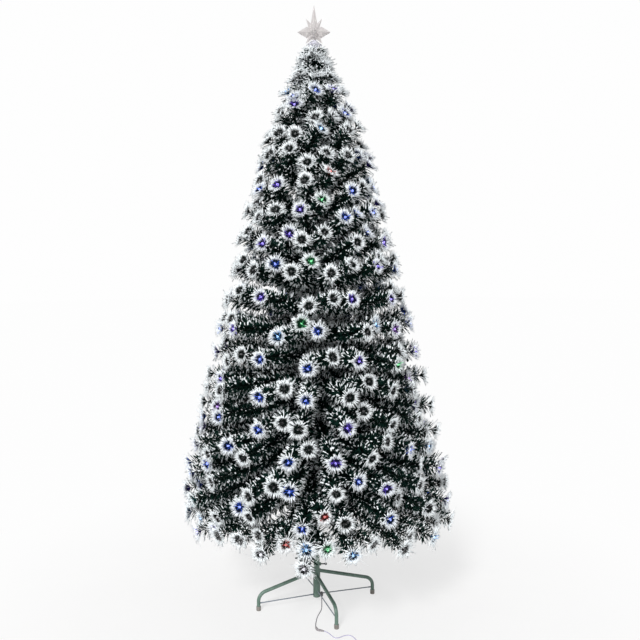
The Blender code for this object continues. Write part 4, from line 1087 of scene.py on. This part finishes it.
def fibre_tuft(root, direction, length, draw):
    """Corners and triangles of the fibres at one tip: the core first, then the spread ones."""
    count = FIBRES_PER_TIP
    core = np.arange(count) < CORE_FIBRES
    side, other = across_pair(direction[None, :])
    winding = np.arange(count) * GOLDEN_TURN + draw.uniform(0, 2 * math.pi)
    lean = np.where(core, draw.uniform(*CORE_LEAN, count), draw.uniform(*SPREAD_LEAN, count))
    lean = np.radians(lean)
    away = np.cos(winding)[:, None] * side + np.sin(winding)[:, None] * other
    run = np.cos(lean)[:, None] * direction + np.sin(lean)[:, None] * away
    base = root + direction * (length - TUFT_DEPTH) + away * 0.001
    reach = np.where(core, draw.uniform(0.008, 0.012, count), draw.uniform(0.011, 0.025, count))
    edges = crossing_edges(run, winding, np.where(core, 0.0024, 0.0011),
                           np.where(core, 0.0036, 0.0018))
    return slivers(base, base + run * reach[:, None], *edges)


def tuft_colours(light, draw):
    """The plastic's colour, painted on lit fibres in their light's colour, and the glow of one tip's
    fibres, on their corners.
    """
    colour = light_rows[light]
    core = np.arange(FIBRES_PER_TIP) < CORE_FIBRES
    shade = np.outer(draw.uniform(0.15, 0.80, FIBRES_PER_TIP), colour)
    shade[core] = (0.70 * colour + 0.30 * colour.max()) * 1.5
    # Painted light: a lit fibre's plastic takes mostly the colour of its light
    body = np.outer(draw.uniform(0.2, 0.8, FIBRES_PER_TIP), 0.2 * UNLIT_FIBRE + 0.8 * colour)
    if LIGHT_NAMES[light] == "off":
        shade[:] = 0.0
        body = np.outer(draw.uniform(0.1, 1.0, FIBRES_PER_TIP) ** 2 * 1.6, UNLIT_FIBRE)
    opaque = np.ones(FIBRES_PER_TIP)
    return [np.repeat(np.column_stack([rows, opaque]), 4, axis=0) for rows in (body, shade)]


# %% Fibre pieces, one for each tier
def tier_fibres(index):
    """The tufts of fibres at a tier's tips."""
    draw = np.random.default_rng(900 + index)
    brushes = tier_brushes(index)
    parts, colours = [], []
    for root, direction, length, light in zip(*brushes, tier_lights(index, len(brushes[2]))):
        parts.append(fibre_tuft(root, direction, length, draw))
        colours.append(tuft_colours(light, draw))
    corners, triangles = gather(parts)
    along = np.tile([0.0, 0.0, 1.0, 1.0], len(corners) // 4)
    body, glow = (np.concatenate(rows) for rows in zip(*colours))
    piece = mesh_piece(
        f"light_fibres_tier_{index + 1:02d}", corners, triangles, {"along": along},
        {"body": body, "glow": glow},
    )
    piece.data.materials.append(fibre_material)
    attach(piece, BODY_OF_TIER[index])
    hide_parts(f"branch_tier_{index + 1:02d}")


for index in range(TIER_COUNT):
    tier_fibres(index)
print(f"{tip_total * FIBRES_PER_TIP} fibres")

# %% [markdown]
# ## Leader brush
# Round the end of the pole, under the star's skirt, short needles stand out in all
# directions. They grow from a slim sleeve on the pole and stay below the skirt's rim.

# %% Leader brush
POLE_TOP = 1.955
LEADER_NEEDLES, LEADER_SURFACE, LEADER_REACH = 420, 0.0125, 0.042


def leader_brush():
    """Short needles round the pole's end."""
    draw = np.random.default_rng(77)
    count = LEADER_NEEDLES
    place = draw.uniform(-0.036, -0.006, count)
    winding = draw.uniform(0, 2 * math.pi, count)
    rise = np.radians(draw.uniform(-34, 40, count))
    away = np.stack([np.cos(winding), np.sin(winding), np.zeros(count)], axis=1)
    base = away * LEADER_SURFACE + np.array([0, 0, POLE_TOP]) + np.outer(place, [0, 0, 1])
    run = away * np.cos(rise)[:, None] + np.outer(np.sin(rise), [0, 0, 1])
    reach = draw.normal(LEADER_REACH, 0.003, count) * (1 - 0.6 * np.clip(rise, 0, 1))
    edges = crossing_edges(run, draw.uniform(0, math.pi, count), np.full(count, 0.0020),
                           draw.uniform(0.0026, 0.0036, count))
    row = (base, base + run * reach[:, None], *edges)
    marks = needle_marks(draw, count, (0.0, 1.0), (8, TONE_BANDS))
    needle_piece("leader_needles", [row], [marks], "upper_section", "leader_brush")


leader_brush()
print(f"leader brush: {LEADER_NEEDLES} needles")

# %% [markdown]
# ## Stand
# The stand is bent and welded from steel tube. One pair of legs is fixed to the post, and
# the other turns with a sleeve, so each piece rides on its own body. A leg is a sweep along
# its middle line: a straight run, an arc, and an upright end. Its first rings are moved onto
# the round of the post, like a notched tube, and are a little wider there for the weld bead.
# A stay rod is pressed flat at both ends. A cap is a cup whose outline runs up the outside
# and down the inside. The middle lines follow the same formula as the frame's.

# %% Stand sizes
POST_FOOT, RING_TOP, SLEEVE_TOP, POST_TOP = 0.0210, 0.0397, 0.1100, 0.1750
POST_RADIUS, SLEEVE_RADIUS, RING_RADIUS = 0.0110, 0.0129, 0.0131
LEG_RADIUS, BEND_RADIUS, FOOT_CIRCLE, LEG_END = 0.00635, 0.035, 0.217, 0.0033
FIXED_AZIMUTH, SCREW_HEIGHT = 18.1, 0.1430
UP = np.array([0.0, 0.0, 1.0])
print(f"post {POST_TOP - POST_FOOT:.3f} m tall, opposite feet {FOOT_CIRCLE * 2:.3f} m apart")


# %% Solid pieces of the stand
def solid_piece(name, arrays, material, body, node):
    """A smooth solid from arrays that stands for a node of the frame."""
    piece = mesh_piece(name, *arrays)
    piece.data.shade_smooth()
    piece.data.set_sharp_from_angle(angle=math.radians(38))
    piece.data.materials.append(material)
    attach(piece, body)
    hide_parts(node)


def upright_sock(outline, sides, centre):
    """A solid of (radius, height) rings round an upright line, closed by its two end rings."""
    outline = np.array(outline)
    centres = np.array(centre) + outline[:, 1:] * UP
    return closed_sweep(centres, np.array([1.0, 0, 0]), np.array([0, 1.0, 0]), outline[:, 0],
                        outline[:, 0], np.zeros(len(outline)), sides)


# %% Shape of a leg
LEG_SIDES, ARC_RINGS = 28, 25
BEND_ABOVE_STAY, FIRST_PLAIN_RING = 0.0067, 0.012
BEAD_STEPS = (0.0, 0.0014, 0.0028, 0.0042)
BEAD_RADII = (0.0078, 0.0079, 0.0070, 0.00635)


def leg_arrays(hub_height, stay_height, hub_radius, azimuth):
    """A notched tube from the hub, round the bend, to its end in the cap."""
    centre = np.array([FOOT_CIRCLE - BEND_RADIUS, stay_height + BEND_ABOVE_STAY])
    to_hub = np.array([0.0, hub_height]) - centre
    meeting = math.atan2(to_hub[1], to_hub[0]) - math.acos(BEND_RADIUS / np.hypot(*to_hub))
    angles = meeting * (1 - np.linspace(0, 1, ARC_RINGS))
    arc = centre + BEND_RADIUS * np.stack([np.cos(angles), np.sin(angles)], axis=1)
    slope = (arc[0] - [0.0, hub_height]) / np.hypot(*(arc[0] - [0.0, hub_height]))
    start = np.array([0.0, hub_height]) + slope * hub_radius / slope[0]
    line = np.concatenate([
        [start + slope * step for step in BEAD_STEPS], [start + slope * FIRST_PLAIN_RING],
        arc, [[FOOT_CIRCLE, LEG_END]],
    ])
    radii = np.full(len(line), LEG_RADIUS)
    radii[:len(BEAD_RADII)] = BEAD_RADII
    along = unit(np.gradient(line, axis=0))
    outward = np.array(level_direction(azimuth))
    across = np.cross(UP, outward)
    centres = line[:, :1] * outward + line[:, 1:] * UP
    tangents = along[:, :1] * outward + along[:, 1:] * UP
    normals = np.cross(across, tangents)[:, None, :]
    corners, triangles = closed_sweep(
        centres, normals, across, radii, radii, np.zeros(len(line)), LEG_SIDES)
    notched = len(BEAD_STEPS) * LEG_SIDES
    sideways = corners[:notched] @ across
    shift = (np.sqrt(hub_radius ** 2 - sideways ** 2) - hub_radius) / slope[0]
    corners[:notched] += shift[:, None] * tangents[0]
    return corners, triangles


# %% Shape of a stay rod
FLAT_END, ROUND_START, ROD_SIDES = 0.007, 0.013, 16
STAY_RADIUS, FLAT_HALF_HEIGHT, FLAT_HALF_THICKNESS = 0.0020, 0.0028, 0.0009


def stay_arrays(hub_radius, hub_height, leg_height, azimuth):
    """A rod from the hub to a leg, pressed flat at both ends."""
    outward = np.array(level_direction(azimuth))
    start = outward * hub_radius + UP * hub_height
    end = outward * (FOOT_CIRCLE - LEG_RADIUS) + UP * leg_height
    length = np.linalg.norm(end - start)
    run = (end - start) / length
    steps = np.array([
        0, FLAT_END, ROUND_START, length - ROUND_START, length - FLAT_END, length,
    ])
    across = np.cross(UP, outward)
    return closed_sweep(
        start + steps[:, None] * run, np.cross(across, run), across,
        np.repeat([FLAT_HALF_HEIGHT, STAY_RADIUS, FLAT_HALF_HEIGHT], 2),
        np.repeat([FLAT_HALF_THICKNESS, STAY_RADIUS, FLAT_HALF_THICKNESS], 2),
        np.zeros(len(steps)), ROD_SIDES)


# %% Legs, stay rods and caps
LEG_SINK = 0.0004
CAP_OUTLINE = [
    (0.0066, 0.0), (0.0077, 0.0005), (0.0082, 0.0015), (0.0082, 0.0034), (0.0079, 0.0038),
    (0.0079, 0.0046), (0.0082, 0.0050), (0.0082, 0.0066), (0.0079, 0.0070), (0.0079, 0.0078),
    (0.0082, 0.0082), (0.0082, 0.0152), (0.0078, 0.0160), (0.0070, 0.0160), (0.0067, 0.0157),
    (0.0067, 0.0030),
]
for side, azimuth, turning in (
    ("right", FIXED_AZIMUTH, False), ("left", FIXED_AZIMUTH + 180, False),
    ("front", FIXED_AZIMUTH - 90, True), ("back", FIXED_AZIMUTH + 90, True),
):
    body = "turning_legs" if turning else "stand"
    hub, hub_height, stay_top, stay_end, stay_hub = (
        (SLEEVE_RADIUS, 0.10065, 0.0445, 0.0365, SLEEVE_RADIUS) if turning
        else (POST_RADIUS, 0.12005, 0.03035, 0.02695, RING_RADIUS)
    )
    solid_piece("tube_leg_" + side, leg_arrays(hub_height, stay_end, hub - LEG_SINK, azimuth),
                stand_paint, body, "leg_" + side)
    solid_piece("flat_ended_stay_" + side, stay_arrays(stay_hub, stay_top, stay_end, azimuth),
                stay_paint, body, "stay_rod_" + side)
    foot = np.array(level_direction(azimuth)) * FOOT_CIRCLE
    solid_piece("grooved_cap_" + side, upright_sock(CAP_OUTLINE, 32, foot), cap_plastic,
                body, "foot_cap_" + side)
print("4 legs, 4 stay rods and 4 caps")

# %% [markdown]
# The post is one outline of rings that runs up its outside, over the rim and down into the
# socket for the pole. Its nut is a six-sided ring, turned round z and then laid on its side
# by changing the order of its coordinates. The sleeve is a tube with bevelled rims.

# %% Post and sleeve
post = upright_sock([
    (0.0122, POST_FOOT), (RING_RADIUS, 0.0219), (RING_RADIUS, 0.0388), (0.0122, RING_TOP),
    (POST_RADIUS, RING_TOP), (POST_RADIUS, POST_TOP - 0.0010), (0.0106, POST_TOP - 0.0002),
    (0.0101, POST_TOP), (0.0096, POST_TOP - 0.0006), (0.0096, 0.0250),
], 40, (0, 0, 0))
nut_corners, nut_faces = turned_arrays([
    (0.0029, 0.0104), (0.0060, 0.0104), (0.0060, 0.0155), (0.0054, 0.0160), (0.0029, 0.0160),
], 6)
nut = nut_corners[:, [2, 0, 1]] + SCREW_HEIGHT * UP, nut_faces
solid_piece("post_with_nut", gather([post, nut]), stand_paint, "stand", "stand_post")
sleeve = turned_arrays([
    (0.0113, RING_TOP + GAP), (0.0124, RING_TOP + GAP), (SLEEVE_RADIUS, 0.0405),
    (SLEEVE_RADIUS, SLEEVE_TOP - 0.0005), (0.0124, SLEEVE_TOP), (0.0113, SLEEVE_TOP),
], 40)
solid_piece("round_edged_sleeve", sleeve, stand_paint, "turning_legs", "turning_sleeve")
print("post, nut and sleeve")

# %% [markdown]
# The thumb screw's thread is a row of rings whose radius goes up and down, and its wing is a
# flat bar with two lobes. Both are swept like the legs.

# %% Thumb screw
THREAD_START, THREAD_END, THREAD_STEP = 0.0096, 0.0302, 0.0004
CREST_RADIUS, GROOVE_RADIUS = 0.0024, 0.0020
WING_PLACE, WING_HALF_SPAN, WING_HALF_DEPTH = 0.0330, 0.008, 0.0048
thread_places = np.arange(THREAD_START, THREAD_END, THREAD_STEP)
thread_radii = np.where(np.arange(len(thread_places)) % 2 == 0, CREST_RADIUS, GROOVE_RADIUS)
thread_radii[[0, 1, 2]] = 0.0014, 0.0019, 0.0020
shank = closed_sweep(
    thread_places[:, None] * [1.0, 0, 0] + SCREW_HEIGHT * UP, np.array([0, 1.0, 0]), UP,
    thread_radii, thread_radii, np.zeros(len(thread_places)), 16)
span = np.linspace(-1, 1, 17)
lobes = np.sqrt(np.clip(1 - (np.abs(span) * 1.7 - 0.9) ** 2, 0.02, 1))
wing_centres = (
    WING_PLACE * np.array([1.0, 0, 0]) + SCREW_HEIGHT * UP
    + np.outer(span * WING_HALF_SPAN, [0, 1, 0])
)
wing = closed_sweep(
    wing_centres, np.array([1.0, 0, 0]), -UP, WING_HALF_DEPTH * lobes,
    0.0015 + 0.0009 * np.clip(1 - np.abs(span) * 3, 0, 1), np.zeros(len(span)), 20)
solid_piece("threaded_wing_screw", gather([shank, wing]), screw_steel, "clamp_screw",
            "thumb_screw")
print("thumb screw")

# %% [markdown]
# ## Clear star
# The star and its skirted socket are moulded in clear plastic. Transmission lets light
# through, and a little roughness keeps the facets soft. Faint violet clouds in the socket
# stand for the light of the fibres that end inside it.

# %% Star plastic
def clear_plastic(name, tint, haze_and_painted_light, cloud_scale, roughness):
    """Clear moulded plastic, faintly hazy, with clouds of a second colour: haze on the star, painted
    fibre light in the socket.
    """
    material, tree, shader = new_material(name, roughness)
    clouds = place_group(tree, clouding, {
        "Colour": tint, "Second colour": haze_and_painted_light, "Cloud scale": cloud_scale,
        "Grain scale": 900.0, "Roughness": roughness, "Roughness change": 0.1,
    })
    tree.links.new(clouds.outputs["Colour"], shader.inputs["Base Color"])
    tree.links.new(clouds.outputs["Roughness"], shader.inputs["Roughness"])
    shader.inputs["Transmission Weight"].default_value = 0.6
    shader.inputs["IOR"].default_value = 1.20
    return material


star_plastic = clear_plastic(
    "clear_star_plastic", (0.745, 0.72, 0.71, 1), (0.69, 0.66, 0.66, 1),
    cloud_scale=60.0, roughness=0.30,
)
# The socket's violet clouds are painted light from the fibres that end inside it
skirt_plastic = clear_plastic(
    "clear_skirt_plastic", (0.88, 0.90, 0.91, 1), (0.78, 0.75, 0.90, 1),
    cloud_scale=150.0, roughness=0.15,
)
finish_node("star", star_plastic)
finish_node("star_socket", skirt_plastic)
print("clear plastics:", star_plastic.name, skirt_plastic.name)

# %% [markdown]
# ## Floor, world and sun
# The tree stands on a pale floor that fades into a white background. Near the tree the
# floor glows only in part, so that it keeps the shadow. Further out it glows white, so that
# no horizon shows. The world lights the tree from all sides with less than full strength,
# and a wide soft sun adds direction. Camera, glossy and transmitted rays see the white glow
# of floor and world, and diffuse rays don't. So it shows in glossy and clear surfaces, and
# adds nothing to the diffuse light.

# %% Mask for what looks straight at the background
def looking_mask(tree):
    """1 for camera, glossy and transmitted rays, and 0 for diffuse ones."""
    rays = add(tree, "LightPath").outputs
    seen = add(tree, "Math", {0: rays["Is Camera Ray"], 1: rays["Is Glossy Ray"]},
               operation="ADD")
    seen = add(tree, "Math", {0: seen.outputs[0], 1: rays["Is Transmission Ray"]},
               operation="ADD", use_clamp=True)
    return seen.outputs[0]


# %% Floor mesh
def round_floor():
    """A flat round floor of rings that widen outward."""
    mesh = bpy.data.meshes.new("floor")
    radii = [0.0, 0.4, 0.8, 1.2, 2.0, 3.0, 5.0, 9.0, 16.0]
    sides = 64
    corners = [(0, 0, 0)]
    for radius in radii[1:]:
        corners += [(radius * math.cos(2 * math.pi * k / sides),
                     radius * math.sin(2 * math.pi * k / sides), 0) for k in range(sides)]
    faces = [(0, 1 + k, 1 + (k + 1) % sides) for k in range(sides)]
    for ring in range(len(radii) - 2):
        near, far = 1 + ring * sides, 1 + (ring + 1) * sides
        faces += [(near + k, far + k, far + (k + 1) % sides, near + (k + 1) % sides)
                  for k in range(sides)]
    mesh.from_pydata(corners, [], faces)
    piece = bpy.data.objects.new("floor", mesh)
    scene.collection.objects.link(piece)
    return piece


floor = round_floor()
print(f"floor: {len(floor.data.polygons)} faces")

# %% Floor material
WHITE_FROM, WHITE_TO, LEAST_WHITE = 0.5, 1.6, 0.70
material, tree, shader = new_material("pale_floor", 0.9)
clouds = place_group(tree, clouding, {
    "Colour": (0.90, 0.895, 0.89, 1), "Second colour": (0.87, 0.865, 0.86, 1),
    "Cloud scale": 3.0, "Grain scale": 200.0, "Roughness": 0.9, "Roughness change": 0.05,
})
tree.links.new(clouds.outputs["Colour"], shader.inputs["Base Color"])
shader.inputs["Specular IOR Level"].default_value = 0.1
place = add(tree, "TexCoord").outputs["Object"]
distance = add(tree, "VectorMath", {0: place}, operation="LENGTH").outputs["Value"]
far = add(tree, "MapRange", {
    "Value": distance, 1: WHITE_FROM, 2: WHITE_TO, 3: LEAST_WHITE, 4: 1.0,
}, interpolation_type="SMOOTHSTEP")
white = add(tree, "Emission", {"Color": (0.985, 0.985, 0.985, 1), "Strength": 1.0})
share = add(tree, "Math", {0: far.outputs["Result"], 1: looking_mask(tree)}, operation="MULTIPLY")
blend = add(tree, "MixShader", {0: share.outputs[0], 1: shader.outputs[0], 2: white.outputs[0]})
tree.links.new(blend.outputs[0], tree.nodes["Material Output"].inputs["Surface"])
floor.data.materials.append(material)
print(f"floor: all white from {WHITE_TO} m out")

# %% World
AMBIENT = 0.44
world = bpy.data.worlds.new("white_studio")
scene.world = world
world.use_nodes = True
tree = world.node_tree
background = tree.nodes["Background"]
background.inputs["Color"].default_value = (1, 1, 1, 1)
background.inputs["Strength"].default_value = AMBIENT
white = add(tree, "Background", {"Color": (0.99, 0.99, 0.99, 1), "Strength": 1.0})
blend = add(tree, "MixShader", {
    0: looking_mask(tree), 1: background.outputs[0], 2: white.outputs[0],
})
tree.links.new(blend.outputs[0], tree.nodes["World Output"].inputs["Surface"])
print(f"world at {AMBIENT} of full strength")

# %% Sun
SUN_STRENGTH, SUN_DISC_DEGREES, SUN_DIRECTION = 2.75, 12, (0.30, 0.9, -0.75)


def soft_sun(name, strength, angle, toward):
    """A sun with a wide disc, shining along a direction."""
    light = bpy.data.lights.new(name, "SUN")
    light.energy = strength
    light.angle = math.radians(angle)
    lamp = bpy.data.objects.new(name, light)
    lamp.rotation_euler = Vector(toward).to_track_quat("-Z", "Y").to_euler()
    scene.collection.objects.link(lamp)


soft_sun("key_sun", SUN_STRENGTH, SUN_DISC_DEGREES, SUN_DIRECTION)
scene.view_settings.view_transform = "Standard"
print(f"sun at {SUN_STRENGTH}, {SUN_DISC_DEGREES} degrees wide")

# %% [markdown]
# ## Last update
# The view layer is brought up to date once more. The dressed tree has to keep the
# frame's size.

# %% Last update
bpy.context.view_layer.update()
